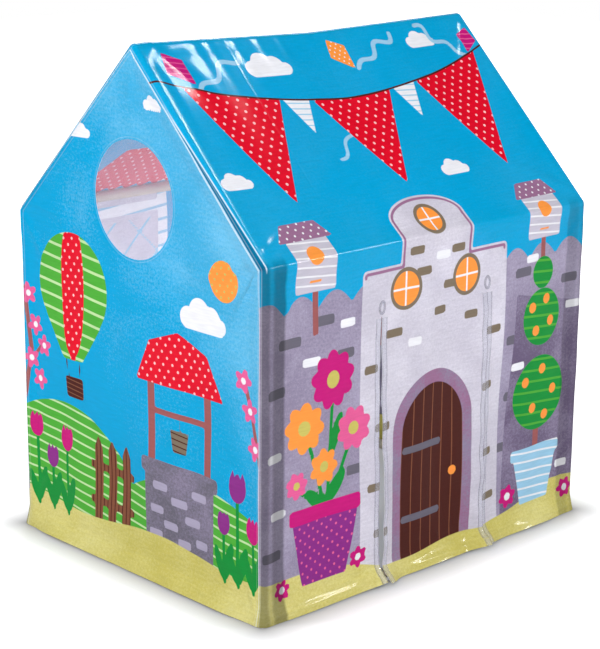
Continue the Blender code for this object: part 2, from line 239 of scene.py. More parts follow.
def crease(across, along, start, end, width, height, narrow=0.45):
    """A soft ridge from start, where it is highest and narrow is its share of the width, fading out to end."""
    (x0, y0), (x1, y1) = start, end
    dx, dy = x1 - x0, y1 - y0
    run = math.hypot(dx, dy)
    t = ((across - x0) * dx + (along - y0) * dy) / run / run
    off = ((across - x0) * -dy + (along - y0) * dx) / run
    spread = width * (narrow + (1.2 - narrow) * np.clip(t, 0, 1))
    return height * bell(off, 0.0, spread) * step(t, -0.06, 0.10) * (1 - step(t, 0.35, 1.0))


def stations(start, *spans):
    """Places along one direction. Each span is its end and the number of cells to it."""
    places = [start]
    for end, cells in spans:
        places.extend(np.linspace(places[-1], end, cells + 1)[1:])
    return np.array(places)


def mirrored(half):
    """Stations on both sides of zero, from those at or over zero."""
    return np.concatenate([-half[::-1], half[1:]])


# Shape of the film. across runs along the house and run goes up the sheet from its hem, both in metres.
# Each fold is its start, its end, its width and its height, and for some its width's share at the start.

BASE_TUBE = 0.011
SEAM_SEED, HEM_SEED = 70, 31
FRONT_SEED, BACK_SEED = 3, 57
RIDGE_RIPPLES = (
    (-0.325, 0.013, 1.0), (-0.287, 0.009, 0.7), (-0.219, 0.011, 0.9), (-0.156, 0.012, 1.0), (-0.098, 0.010, 0.8),
    (-0.020, 0.013, 0.5), (0.085, 0.012, 0.5), (0.190, 0.014, 0.6), (0.300, 0.012, 0.5), (0.385, 0.011, 0.6),
)
SIDE_FOLDS = (
    ((-0.438, 1.222), (-0.330, 1.035), 0.0160, 0.0028, 1.2),
    ((0.452, 1.205), (0.33, 1.02), 0.013, 0.0024),
    ((-0.452, 0.73), (-0.33, 0.79), 0.012, 0.0016),
    ((0.452, 0.73), (0.28, 0.86), 0.014, 0.0022),
    ((-0.452, 0.672), (-0.34, 0.52), 0.012, 0.0026),
    ((0.452, 0.672), (0.35, 0.50), 0.012, 0.0022),
    ((-0.454, 0.03), (-0.36, 0.16), 0.012, 0.0022),
    ((0.454, 0.03), (0.36, 0.17), 0.012, 0.0022),
)
GABLE_FOLDS = (
    ((-0.362, 0.692), (-0.262, 0.550), 0.008, 0.0080),
    ((0.360, 0.690), (0.268, 0.56), 0.009, 0.0032),
    ((-0.352, 0.705), (-0.14, 0.630), 0.011, 0.0056),
    ((0.345, 0.715), (0.14, 0.69), 0.012, 0.0020),
    ((0.0, 1.045), (0.02, 0.90), 0.012, 0.0026),
    ((-0.356, 0.03), (-0.27, 0.17), 0.012, 0.0022),
    ((0.356, 0.03), (0.27, 0.17), 0.012, 0.0022),
)
# The film beside a slit: which way it moves to shut the slit, how far in it is loose, how far it stands out when the
# slit is shut and how much more when it is open, its waves' height and seed, and its way back on the left and right
SLIT_EDGES = {
    "flap": (1, 0.060, 0.0045, 0.0070, 0.0016, 41, 0.0040, 0.0016),
    "wall": (-1, 0.055, 0.0012, 0.0042, 0.0013, 43, 0.0060, 0.0018),
}
SLIT_SHIFT = 0.0024
HEM_HOLD = 0.12


def film():
    return bpy.context.scene.play_tent_film


def roof_line(run):
    """The centre of the fold that carries the sheet (distance out, height), and the sheet's slope angle."""
    up_roof = np.clip(run - WALL_RUN - EAVE_ARC, 0.0, ROOF_RUN)
    out = POST_Y - up_roof * math.cos(PITCH)
    height = np.where(run <= WALL_RUN, HEM_Z + run, EAVE_Z + up_roof * math.sin(PITCH))
    over_eave = np.clip((run - WALL_RUN) / FOLD, 0.0, math.pi / 2 - PITCH)
    over_ridge = np.clip((run - WALL_RUN - EAVE_ARC - ROOF_RUN) / FOLD, 0.0, PITCH)
    return out, height, over_eave + over_ridge


def ridge_drop(x, z):
    """How far the ridge has come down, most at the coupler in its middle."""
    along = np.clip(1 - np.abs(x) / POST_X, 0.0, None)
    return -film().ridge_drop * along * np.clip((z - EAVE_Z) / (RIDGE_Z - EAVE_Z), 0.0, 1.0)


def beside_tubes(distance):
    """How far the film has fallen in beside a tube, from 0 on the tube to 1 where it runs free."""
    return step(distance, 0.008, 0.034) * (1 - 0.45 * step(distance, 0.05, 0.20))


def seam_lip(run):
    """How far the welded seam over a post and rafter stands out, fullest at the eave corner."""
    up = run - WALL_RUN
    post = 0.0018 * step(run, 0.03, 0.20)
    corner = 0.0034 * step(up, -0.09, 0.005) * (1 - 0.72 * step(up, 0.05, 0.45))
    uneven = 1 + 0.20 * waves(0.0, run, SEAM_SEED, 0.04, 0.20, count=6)
    return (post + corner) * uneven * (1 - step(run, SHEET_RUN - 0.035, SHEET_RUN - 0.008))


def hem_turn(run, turn):
    """How far the hem stands out, and how far it rises, where it turns out by an angle below its crease."""
    below = np.clip(film().hem_crease - run, 0.0, None)
    soft = film().hem_softness
    turned = below - soft * (1 - np.exp(-below / soft))
    return np.sin(turn) * turned, (1 - np.cos(turn)) * turned


def hem_angle(across, from_post, seed):
    """Turn of a hem, least at the posts."""
    between = film().hem_angle * (1 + 0.22 * waves(across, 0.0, seed, 0.09, 0.28, count=5))
    return film().corner_angle + (between - film().corner_angle) * step(from_post, 0.012, 0.10)


def hem_roll(across, run, seed):
    """The low roll in the film just over the hem, where its folded edge is welded."""
    near_post = step(POST_X - np.abs(across), -0.006, 0.016)
    uneven = 1 + 0.35 * waves(across, 0.0, seed, 0.07, 0.25, count=5)
    return 0.0015 * (1 + 0.8 * hump(across, -0.405, 0.13)) * near_post * bell(run, 0.0135, 0.0056) * uneven


def rafter_bulge(across, run, seed):
    """The film of the wrap over a post and rafter: a slack roll, a valley, and the lip of the welded seam."""
    seam = SHEET_REACH - np.abs(across)
    uneven = 1 + waves(0.0, run, seed + 29, 0.05, 0.2, count=5)
    roll = 0.0010 * step(run, 0.05, 0.2) * (1 - step(run - WALL_RUN, -0.08, 0.0)) * uneven
    return hump(seam, 0.0185, 0.0115) * roll + (1 - step(seam, 0.0, 0.0048)) * seam_lip(run)


def side_relief(across, run, seed, hem_seed):
    """How far a side sheet stands out of its plain form."""
    posts = POST_X - np.abs(across)
    eave = np.abs(run - WALL_RUN - EAVE_ARC / 2)
    ridge = SHEET_RUN - RIDGE_ARC - run
    base = run - BASE_TUBE
    wall = 1 - step(run, WALL_RUN - 0.02, WALL_RUN + EAVE_ARC + 0.02)
    roof = 1 - wall

    over_rail = np.where(wall > 0.5, step(base, 0.014, 0.06), step(ridge, 0.008, 0.04))
    hollow = -film().tube_hollow * beside_tubes(posts) * step(eave, 0.008, 0.045) * (0.45 + 0.55 * wall) * over_rail
    open_wall = step(posts, 0.01, 0.10) * step(eave, 0.008, 0.08) * step(base, 0.0, 0.10)
    wall_waves = film().wall_wave * wall * open_wall * waves(across, run, seed, 0.075, 0.33, lean=2.6)
    open_roof = step(posts, 0.01, 0.09) * step(eave, 0.008, 0.09) * step(ridge, 0.004, 0.07)
    open_roof = open_roof * (0.30 + 0.70 * step(run, 0.95, 1.10))
    roof_waves = film().roof_wave * roof * open_roof * waves(across, run, seed + 5, 0.07, 0.30, lean=3.4)
    up_roof = (run - WALL_RUN - EAVE_ARC) / ROOF_RUN
    sag = -film().roof_sag * roof * 4 * np.clip(up_roof, 0, 1) * np.clip(1 - up_roof, 0, 1) * step(posts, 0.0, 0.16)

    near_ridge = np.exp(-((np.clip(ridge, 0, None) / 0.078) ** 1.8)) * step(ridge, -0.016, 0.012)
    ripple = sum(share * bell(across, place + 0.10 * ridge, wide) for place, wide, share in RIDGE_RIPPLES)
    ripple = film().ridge_ripple * near_ridge * step(posts, 0.0, 0.04) * ripple
    near_eave = np.exp(-eave / 0.05) * step(eave, 0.008, 0.022) * step(posts, 0.0, 0.05)
    eave_ripple = 0.0007 * near_eave * waves(across, 0.0, seed + 17, 0.04, 0.11, count=6)
    uneven = 1 + 0.3 * waves(0.0, run, seed + 19, 0.06, 0.2, count=5)
    edge_fold = 0.0013 * wall * bell(SHEET_REACH - np.abs(across), 0.069, 0.0042) * step(base, 0.03, 0.10) * uneven

    folds = sum(crease(across, run, *fold) for fold in SIDE_FOLDS) * step(posts, 0.0, 0.012) * step(eave, 0.0, 0.014)
    relief = hollow + wall_waves + roof_waves + sag + ripple + eave_ripple + edge_fold + folds
    return relief + rafter_bulge(across, run, seed) + hem_roll(across, run, hem_seed)


def side_points(across, run, relief, side, turn, shift=0.0):
    """Points of a side sheet's outer face. side is -1 for the front and 1 for the back."""
    hem_out, hem_up = hem_turn(run, turn)
    out, height, slope = roof_line(run)
    wrap = np.clip((np.abs(across) - POST_X) / FOLD, 0.0, math.pi / 2)
    radius = FOLD + relief
    x = np.clip(across, -POST_X, POST_X) + shift + np.sign(across) * np.sin(wrap) * (radius + hem_out)
    y = out + np.cos(wrap) * (np.cos(slope) * radius + hem_out)
    z = height + np.cos(wrap) * np.sin(slope) * radius + hem_up
    return np.stack([x, side * np.maximum(y, 0.0001), z + ridge_drop(x, z)], -1)


def front_points(across, run, part, lift=0.0):
    """Points of the front sheet's outer face. part is "wall" outside the slits and "flap" between them."""
    way, loose_reach, shut_out, open_out, wave, seed, back_left, back_right = SLIT_EDGES[part]
    relief = side_relief(across, run, FRONT_SEED, 51) + lift
    down = DOOR_TOP - run
    open_by = step(down, 0.03, 0.42) * 0.8 + 0.2 * step(down, 0.30, DOOR_TOP)
    if part == "flap":
        edge = np.clip(FLAP_HALF - np.abs(across), 0.0, None)
        near = (1 - step(edge, 0.0, loose_reach)) ** 1.5
    else:
        edge = np.clip(np.abs(across) - OPENING_HALF, 0.0, None)
        near = (1 - step(edge, 0.0, loose_reach)) ** 1.5 * (down > -0.0001)
    stand = shut_out + open_out * open_by + wave * waves(np.sign(across), run, seed, 0.06, 0.24, count=6)
    relief = relief + step(down + 0.02, 0.0, 0.09) * near * stand
    above_hem = HEM_HOLD + (1 - HEM_HOLD) * step(run, 0.01, 0.13)
    back = np.where(across > 0, back_right, back_left) * open_by * above_hem
    turn = hem_angle(across, POST_X - np.abs(across), HEM_SEED)
    turn = turn + (film().slit_angle - turn) * (1 - step(edge, 0.0, 0.075)) ** 1.2
    return side_points(across, run, relief, -1, turn, np.sign(across) * near * way * (SLIT_SHIFT - back))


def back_points(across, run):
    """Points of the back sheet's outer face."""
    turn = hem_angle(across, POST_X - np.abs(across), HEM_SEED)
    return side_points(across, run, side_relief(across, run, BACK_SEED, 53), 1, turn)


def gable_top(across):
    return RIDGE_Z - np.abs(across) * (RIDGE_Z - EAVE_Z) / POST_Y


def gable_rim(across, height):
    """Distance in from a gable's posts and rafters."""
    return np.minimum(POST_Y - np.abs(across), (gable_top(across) - height) * math.cos(PITCH))


def gable_points(across, height, side, lift=0.0):
    """Points of a gable's outer face. across is the world's y, and side is -1 for the left gable."""
    seed = 71 if side < 0 else 83
    posts = POST_Y - np.abs(across)
    slope = (gable_top(across) - height) * math.cos(PITCH)
    rim = gable_rim(across, height)
    base = height - 0.012
    calm = 0.35 + 0.65 * step(np.hypot(across, height - WINDOW_Z) - WINDOW_RADIUS, -0.02, 0.06)
    open_field = step(posts, 0.01, 0.10) * step(slope, 0.008, 0.09) * step(base, 0.0, 0.10)
    relief = -film().tube_hollow * beside_tubes(rim) * step(base, 0.014, 0.06) * (0.4 + 0.6 * calm)
    relief = relief + film().wall_wave * 1.1 * calm * open_field * waves(across, height, seed, 0.08, 0.33, lean=2.2)
    up_rafter = WALL_RUN + EAVE_ARC / 2 + (height - EAVE_Z) / math.sin(PITCH)
    run = np.where(height < EAVE_Z, height - HEM_Z, up_rafter)
    relief = relief + (1 - step(rim, 0.0, 0.0055)) * seam_lip(run)
    relief = relief + sum(crease(across, height, *fold) for fold in GABLE_FOLDS) * step(rim, 0.0, 0.014)
    out, up = hem_turn(height - HEM_Z, hem_angle(across, posts, seed + 2))
    return np.stack([side * (GABLE_X + relief + lift + out), across, height + up], -1)


# Print shapes, all in millimetres: the distance to the edge of a printed shape, below zero inside it


def disc(x, y, cx, cy, radius):
    return np.hypot(x - cx, y - cy) - radius


def oval(x, y, cx, cy, half_x, half_y, turn=0.0):
    c, s = math.cos(turn), math.sin(turn)
    u = (x - cx) * c + (y - cy) * s
    v = (y - cy) * c - (x - cx) * s
    k = np.hypot(u / half_x, v / half_y)
    return k * (k - 1) / (np.hypot(u / half_x**2, v / half_y**2) + 1e-12)


def slab(x, y, cx, cy, half_x, half_y, rounding=0.0):
    u = np.abs(x - cx) - half_x + rounding
    v = np.abs(y - cy) - half_y + rounding
    return np.hypot(np.maximum(u, 0), np.maximum(v, 0)) + np.minimum(np.maximum(u, v), 0) - rounding


def beside(x, y, start, end):
    """Distance from a straight line between two points."""
    dx, dy = end[0] - start[0], end[1] - start[1]
    t = np.clip(((x - start[0]) * dx + (y - start[1]) * dy) / (dx * dx + dy * dy), 0, 1)
    return np.hypot(x - start[0] - t * dx, y - start[1] - t * dy)


def strip(x, y, points, half):
    return np.minimum.reduce([beside(x, y, *ends) for ends in zip(points[:-1], points[1:])]) - half


def polygon(x, y, *points):
    sides = list(zip(points, points[1:] + points[:1]))
    inside = np.zeros(np.shape(x), bool)
    for (x0, y0), (x1, y1) in sides:
        if y0 != y1:
            inside ^= ((y0 > y) != (y1 > y)) & (x < (x1 - x0) * (y - y0) / (y1 - y0) + x0)
    return np.minimum.reduce([beside(x, y, *ends) for ends in sides]) * np.where(inside, -1, 1)


def cloud(x, y, cx, cy, size):
    puffs = ((-0.34, 0.06, 0.17), (-0.10, 0.17, 0.22), (0.16, 0.11, 0.19), (0.37, 0.03, 0.12))
    puffs = [disc(x, y, cx + u * size, cy + v * size, r * size) for u, v, r in puffs]
    return np.minimum.reduce([*puffs, slab(x, y, cx, cy - 0.03 * size, 0.44 * size, 0.08 * size, 0.07 * size)])


def kite(x, y, cx, cy, size, turn):
    c, s = math.cos(turn), math.sin(turn)
    corners = ((0, 0.62), (0.42, 0.12), (0, -0.62), (-0.42, 0.12))
    return polygon(x, y, *[(cx + size * (u * c - v * s), cy + size * (u * s + v * c)) for u, v in corners])


def ribbon(x, y, start, end, swing, bends, half):
    dx, dy = end[0] - start[0], end[1] - start[1]
    points = []
    for t in np.linspace(0, 1, 25):
        off = swing * math.sin(bends * math.pi * t) * (0.35 + 0.65 * t) / math.hypot(dx, dy)
        points.append((start[0] + dx * t - dy * off, start[1] + dy * t + dx * off))
    return strip(x, y, points, half)


def over_cord(x, y, low, rise):
    """Height over a cord that hangs to low in the middle and is higher by rise at the ends."""
    return y - low - rise * (x / 477) ** 2


def pennant(x, y, cord, cx, half, drop):
    down = -over_cord(x, y, *cord)
    lean = drop / math.hypot(drop, half)
    return np.maximum((np.abs(x - cx) - half * (1 - down / drop)) * lean, -down)


def petals(x, y, cx, cy, size, count, turn=0.0):
    turns = [turn + 2 * math.pi * k / count for k in range(count)]
    places = [(cx + 0.56 * size * math.cos(a), cy + 0.56 * size * math.sin(a), a) for a in turns]
    return np.minimum.reduce([oval(x, y, px, py, 0.46 * size, 0.30 * size, a) for px, py, a in places])


def tulip(x, y, cx, cy, size):
    cup = np.maximum(oval(x, y, cx, cy, 0.40 * size, 0.52 * size), y - cy - 0.30 * size)
    for k in (-0.24, 0.0, 0.24):
        tooth = ((k - 0.16, 0.22), (k, 0.58), (k + 0.16, 0.22))
        cup = np.minimum(cup, polygon(x, y, *[(cx + u * size, cy + v * size) for u, v in tooth]))
    return cup


def leaf(x, y, x0, y0, x1, y1, width):
    long = math.hypot(x1 - x0, y1 - y0)
    return oval(x, y, (x0 + x1) / 2, (y0 + y1) / 2, long / 2, width / 2, math.atan2(y1 - y0, x1 - x0))


def pot(x, y, cx, low, high, half_low, half_high):
    return polygon(x, y, (cx - half_low, low), (cx + half_low, low), (cx + half_high, high), (cx - half_high, high))


def arch(x, y, cx, low, high, half):
    """A doorway from low to high, with a round top over it."""
    return np.minimum(slab(x, y, cx, (low + high) / 2, half, (high - low) / 2), disc(x, y, cx, high, half))


def brick(x, y, cx, cy, long, half_x=20, half_y=8.5):
    return slab(x, y, cx, cy, half_x * long, half_y, 4)


def scallops(x, level, period, depth):
    return level + depth * np.abs(np.cos(math.pi * x / period))


def each(shape, places, *size):
    """The same shape at several places, with the numbers in size for all of them."""
    return lambda x, y: np.minimum.reduce([shape(x, y, *place, *size) for place in places])


def together(*shapes):
    return lambda x, y: np.minimum.reduce([shape(x, y) for shape in shapes])


def grown(shape, by):
    return lambda x, y: shape(x, y) - by


def tulip_plants(tulips, foot, half, leaf_foot, right, left):
    """Stems, each with a leaf to the right and one to the left. A leaf is its tip's place and its width."""
    stems = [([(cx + 4, foot), (cx, cy)], half) for cx, cy, _ in tulips]
    leaves = [(cx + 4, leaf_foot, cx + right[0], *right[1:]) for cx, _, _ in tulips]
    leaves += [(cx, leaf_foot, cx + left[0], *left[1:]) for cx, _, _ in tulips]
    return together(each(strip, stems), each(leaf, leaves))


# Each layer of a print is its name, its shape and its colour. For a pattern in it, the kind of pattern, its colour and
# its scale follow: metres from one dot, stripe, bar or plank to the next, half a line's width, or a mottle's fineness.

RED_DOTS = ("dots", "red_dot", 0.0205)
GABLE_DOTS = ("dots", "red_dot", 0.0185)
CHALKY_PALE = ("mottle", "pale_light", 7.0)
CHALKY_STONE = ("mottle", "stone_light", 8.0)
CHALKY_SAND = ("mottle", "sand_light", 5.0)
DOOR_STONE = ("mottle", "stone", 14.0)
CORD = ("brown", "line", None, 0.0022)
FRONT_CORD, BACK_CORD = (1052, 85), (905, 90)
FRONT_FLOWERS = {
    "orange": ((-362, 372, 50, 8), (-310, 285, 38, 7)),
    "magenta": ((-288, 455, 58, 9),),
    "pink": ((-228, 345, 45, 8), (-382, 262, 28, 7)),
}
TAUPE_BRICKS = (
    (-60, 672, 1), (-118, 515, 1.1), (-182, 452, 0.9), (62, 660, 1), (105, 515, 0.9), (178, 470, 1.1), (-150, 330, 1),
    (160, 352, 1), (-172, 210, 1), (168, 205, 0.9), (40, 590, 1), (-40, 628, 1.1), (10, 540, 0.9), (-155, 112, 0.9),
    (180, 105, 1),
)
WHITE_BRICKS = (
    (-345, 500, 1.1), (300, 600, 1), (-440, 330, 1), (-250, 560, 1), (440, 480, 1), (-62, 488, 0.9), (18, 652, 1),
    (262, 372, 1), (-430, 215, 1), (425, 120, 0.9),
)
WALL_BRICKS = (
    (-400, 545, 1.2), (-310, 575, 1), (-255, 500, 1), (-435, 455, 1), (-245, 175, 1), (270, 575, 1.1), (425, 540, 1),
    (245, 435, 1), (440, 395, 1), (430, 200, 1), (235, 200, 1.1), (-445, 135, 1), (-225, 260, 0.9), (250, 310, 1),
)
WELL_BRICKS = (
    (75, 205, 1), (130, 182, 1.1), (185, 208, 1), (65, 155, 0.9), (168, 152, 1), (105, 128, 1), (195, 112, 0.8),
    (60, 102, 0.9), (145, 100, 0.9),
)
FRUITS = (
    (290, 330), (345, 352), (385, 300), (318, 268), (362, 246), (305, 492), (352, 505), (368, 455), (318, 440),
)
DAISIES = ((245, 85, 26, 6, 0.3), (440, 60, 24, 6, 0.1), (-215, 75, 24, 6, 0.6), (-418, 60, 22, 6, 0.2))
ROUND_WINDOWS = ((-90, 600, 35), (90, 600, 35), (0, 735, 30))
BLOSSOMS = ((-330, 455), (-345, 380), (-300, 415), (-350, 520), (-318, 340), (335, 420), (352, 350), (315, 475))
BACK_TULIPS = (
    (-400, 300, 60), (-310, 240, 55), (-210, 310, 62), (-100, 250, 55), (20, 320, 62), (130, 240, 55), (240, 300, 60),
    (340, 230, 55), (430, 310, 60),
)
GABLE_TULIPS = (
    (-335, 235, 52), (-285, 175, 48), (-235, 225, 52), (300, 260, 58), (345, 185, 50), (262, 180, 46),
)


def front_layers():
    """The front print: kites and pennants in the sky over a cottage and its garden wall."""
    cottage = together(each(slab, [(0, 300, 212, 352, 10), (0, 660, 105, 85)]), each(oval, [(0, 742, 105, 52)]))
    flowers = {
        colour: each(petals, [(cx, cy, size, count, cx * 0.009) for cx, cy, size, count in places])
        for colour, places in FRONT_FLOWERS.items()
    }
    hearts = [(cx, cy, 0.30 * size) for places in FRONT_FLOWERS.values() for cx, cy, size, _ in places]
    tails = [
        ((-372, 1100), (-225, 1185), 16, 4, 5.5), ((75, 1120), (215, 1195), 16, 4, 5.5),
        ((405, 1110), (300, 1205), 14, 4, 5), ((-30, 985), (-125, 905), 10, 3, 4),
    ]
    stems = [
        ([(-305, 200), (-358, 360)], 4.5), ([(-300, 200), (-288, 440)], 4.5), ([(-298, 200), (-232, 330)], 4.5),
        ([(-312, 200), (-378, 250)], 4),
    ]
    leaves = [(-308, 205, -253, 268, 30), (-312, 205, -358, 245, 26), (-296, 300, -262, 385, 26)]
    roofs = [
        [(-405, 742), (-265, 742), (-290, 782), (-380, 782)], [(268, 736), (402, 736), (376, 776), (294, 776)],
    ]
    small_pennants = [(FRONT_CORD, c) for c in (-147, 165)]
    pennants = [(FRONT_CORD, c, 112, drop) for c, drop in ((-300, 262), (8, 225), (318, 262))]
    holes = each(disc, [(-335, 706, 20), (335, 704, 19)])
    perches = each(slab, [(-335, 655), (335, 658)], 16, 3)
    tree_pot = together(each(pot, [(335, 55, 160, 48, 72)]), each(slab, [(335, 168, 80, 13, 5)]))

    def shaded_side(x, y):
        return np.maximum(225 + 0.06 * (y - 100) - x, y - 530 + 0.22 * (x - 250))

    def ground(x, y):
        return (y - 40 - 45 * step(np.abs(x), 100, 420) - 6 * np.sin(x * 0.019)) * 0.95

    return [
        ("clouds", each(cloud, [(-165, 1135, 120), (295, 1160, 85), (-415, 880, 80), (160, 835, 80)]), "white"),
        ("tails", each(ribbon, tails), "ice"),
        ("kites_red", each(kite, [(-395, 1155, 75, 0.5), (430, 1150, 60, -0.5)]), "magenta", "stripes", "pink", 0.013),
        ("kites_orange", each(kite, [(48, 1160, 72, 0.45)]), "orange", "dots", "white", 0.012),
        ("small_pennants", each(pennant, small_pennants, 34, 85), "white", "stripes", "ice", 0.014),
        ("pennants", each(pennant, pennants), "red", *RED_DOTS),
        ("cord", lambda x, y: over_cord(x, y, *FRONT_CORD), *CORD),
        ("garden_wall", lambda x, y: (y - scallops(x + 20, 600, 88, 30)) * 0.8, "stone", *CHALKY_STONE),
        ("wall_bricks", each(brick, WALL_BRICKS, 24, 10), "grey"),
        ("wall_shade", shaded_side, "stone_dark", "mottle", "stone", 9.0),
        ("cottage", cottage, "pale", *CHALKY_PALE),
        ("cottage_trim", lambda x, y: np.maximum(cottage(x, y) + 4.5, 635 - y), "mauve"),
        ("cottage_front", grown(cottage, -10.5), "pale", *CHALKY_PALE),
        ("white_bricks", each(brick, WHITE_BRICKS), "white"),
        ("house_poles", each(slab, [(-335, 600, 7, 50), (335, 620, 7, 40)]), "wood"),
        ("bird_houses", each(slab, [(-335, 690, 52, 56, 5), (335, 690, 52, 50, 5)]), "pale", "stripes", "white", 0.018),
        ("house_roofs", each(polygon, roofs), "mauve", "dots", "white", 0.016),
        ("house_holes", together(holes, perches), "orange"),
        ("taupe_bricks", each(brick, TAUPE_BRICKS), "taupe"),
        ("window_frames", grown(each(disc, ROUND_WINDOWS), 8), "taupe"),
        ("windows", each(disc, ROUND_WINDOWS), "orange", "bars", "white", 0.090),
        ("door_surround", each(arch, [(0, -100, 302, 116)]), "mauve", *DOOR_STONE),
        ("door", each(arch, [(0, -100, 300, 90)]), "brown", "planks", "brown_light", 0.030),
        ("door_straps", each(slab, [(-30, 115), (-30, 262)], 58, 7.5, 7), "grey"),
        ("door_knob", each(disc, [(62, 190, 10.5)]), "orange"),
        ("ground", ground, "sand", *CHALKY_SAND),
        ("stems", together(each(strip, stems), each(leaf, leaves)), "leaf"),
        *[("petals_" + colour, shape, colour) for colour, shape in flowers.items()],
        ("flower_hearts", each(disc, hearts), "sand"),
        ("flower_pot", each(pot, [(-305, 52, 185, 58, 86)]), "purple", "dots", "pink", 0.017),
        ("pot_rim", each(slab, [(-305, 196, 94, 16, 6)]), "magenta"),
        ("tree_stem", each(slab, [(335, 220, 10, 90)]), "wood"),
        ("tree_balls", each(disc, [(337, 300, 83), (337, 468, 62), (337, 565, 34)]), "leaf", "stripes", "green", 0.024),
        ("fruits", each(disc, FRUITS, 11.5), "orange"),
        ("tree_pot", tree_pot, "ice", "stripes", "white", 0.020),
        ("daisies", each(petals, DAISIES), "magenta"),
        ("daisy_hearts", each(disc, [(245, 85, 9), (440, 60, 8), (-215, 75, 8), (-418, 60, 8)]), "white"),
    ]


def back_layers():
    """The back print: a lower row of pennants over the garden wall, with tulips, a gate and a pavilion."""
    cells = [(i, j) for i in range(-5, 6) for j in range(7)]
    uneven = [(i, j, 20 * (j % 2) + 13 * math.sin(5 * i + j)) for i, j in cells if (3 * i + 2 * j) % 5 == 0]
    dark = [(80 * i + off, 100 + 72 * j, 1) for i, j, off in uneven]
    light = [(80 * i + 30 * (j % 2), 120 + 75 * j, 1) for i, j in cells if j < 6 and (2 * i + 3 * j) % 5 == 1]
    small_pennants = [(BACK_CORD, c) for c in (-312, -137)]
    posts = [(85, 400, 13, 320), (295, 400, 13, 320), (190, 655, 115, 12), (190, 110, 125, 30)]
    canopy = [(30, 660), (350, 660), (350, 730), (275, 865), (105, 865), (30, 730)]

    def lattice(x, y):
        bars = np.minimum(np.abs(np.mod(x + y, 100) - 50), np.abs(np.mod(x - y, 100) - 50)) - 4
        return np.maximum(slab(x, y, 190, 360, 98, 270), bars) * 0.9

    def canopy_edge(x, y):
        return np.maximum(polygon(x, y, *canopy), (scallops(x - 190, 722, 40, -16) - y) * 0.8)

    return [
        ("clouds", each(cloud, [(-290, 1100, 140), (60, 1140, 110), (330, 1040, 120)]), "white"),
        ("tails", each(ribbon, [((-90, 1030), (30, 1070)), ((200, 1130), (100, 1050))], 14, 4, 5.5), "ice"),
        ("kites_red", each(kite, [(-120, 1070, 80, 0.6)]), "magenta", "stripes", "pink", 0.013),
        ("kites_orange", each(kite, [(225, 1165, 70, -0.5)]), "orange", "dots", "white", 0.012),
        ("small_pennants", each(pennant, small_pennants, 26, 70), "white", "stripes", "orange", 0.014),
        ("pennants", each(pennant, [(BACK_CORD, c) for c in (-400, -225, -50)], 80, 170), "red", *RED_DOTS),
        ("cord", lambda x, y: over_cord(x, y, *BACK_CORD), *CORD),
        ("garden_wall", lambda x, y: (y - scallops(x, 560, 96, 30)) * 0.8, "stone", *CHALKY_STONE),
        ("taupe_bricks", each(brick, dark, 26, 11), "grey"),
        ("white_bricks", each(brick, light, 24, 10), "pale"),
        ("gate_surround", each(arch, [(-170, -20, 420, 105)]), "mauve", *DOOR_STONE),
        ("gate", each(arch, [(-170, -20, 420, 82)]), "green", "planks", "leaf", 0.030),
        ("pavilion_wall", each(slab, [(190, 400, 100, 310)]), "pale", *CHALKY_PALE),
        ("pavilion_lattice", lattice, "ice"),
        ("pavilion_posts", each(slab, posts), "white", "stripes", "ice", 0.030),
        ("canopy", canopy_edge, "red", *RED_DOTS),
        ("ground", lambda x, y: (y - 75 - 8 * np.sin(x * 0.015)) * 0.95, "sand", *CHALKY_SAND),
        ("stems", tulip_plants(BACK_TULIPS, 50, 4.5, 60, (30, 160, 24), (-28, 140, 22)), "leaf"),
        *[("tulips_" + c, each(tulip, BACK_TULIPS[k::3]), c) for k, c in enumerate(("magenta", "orange", "pink"))],
    ]


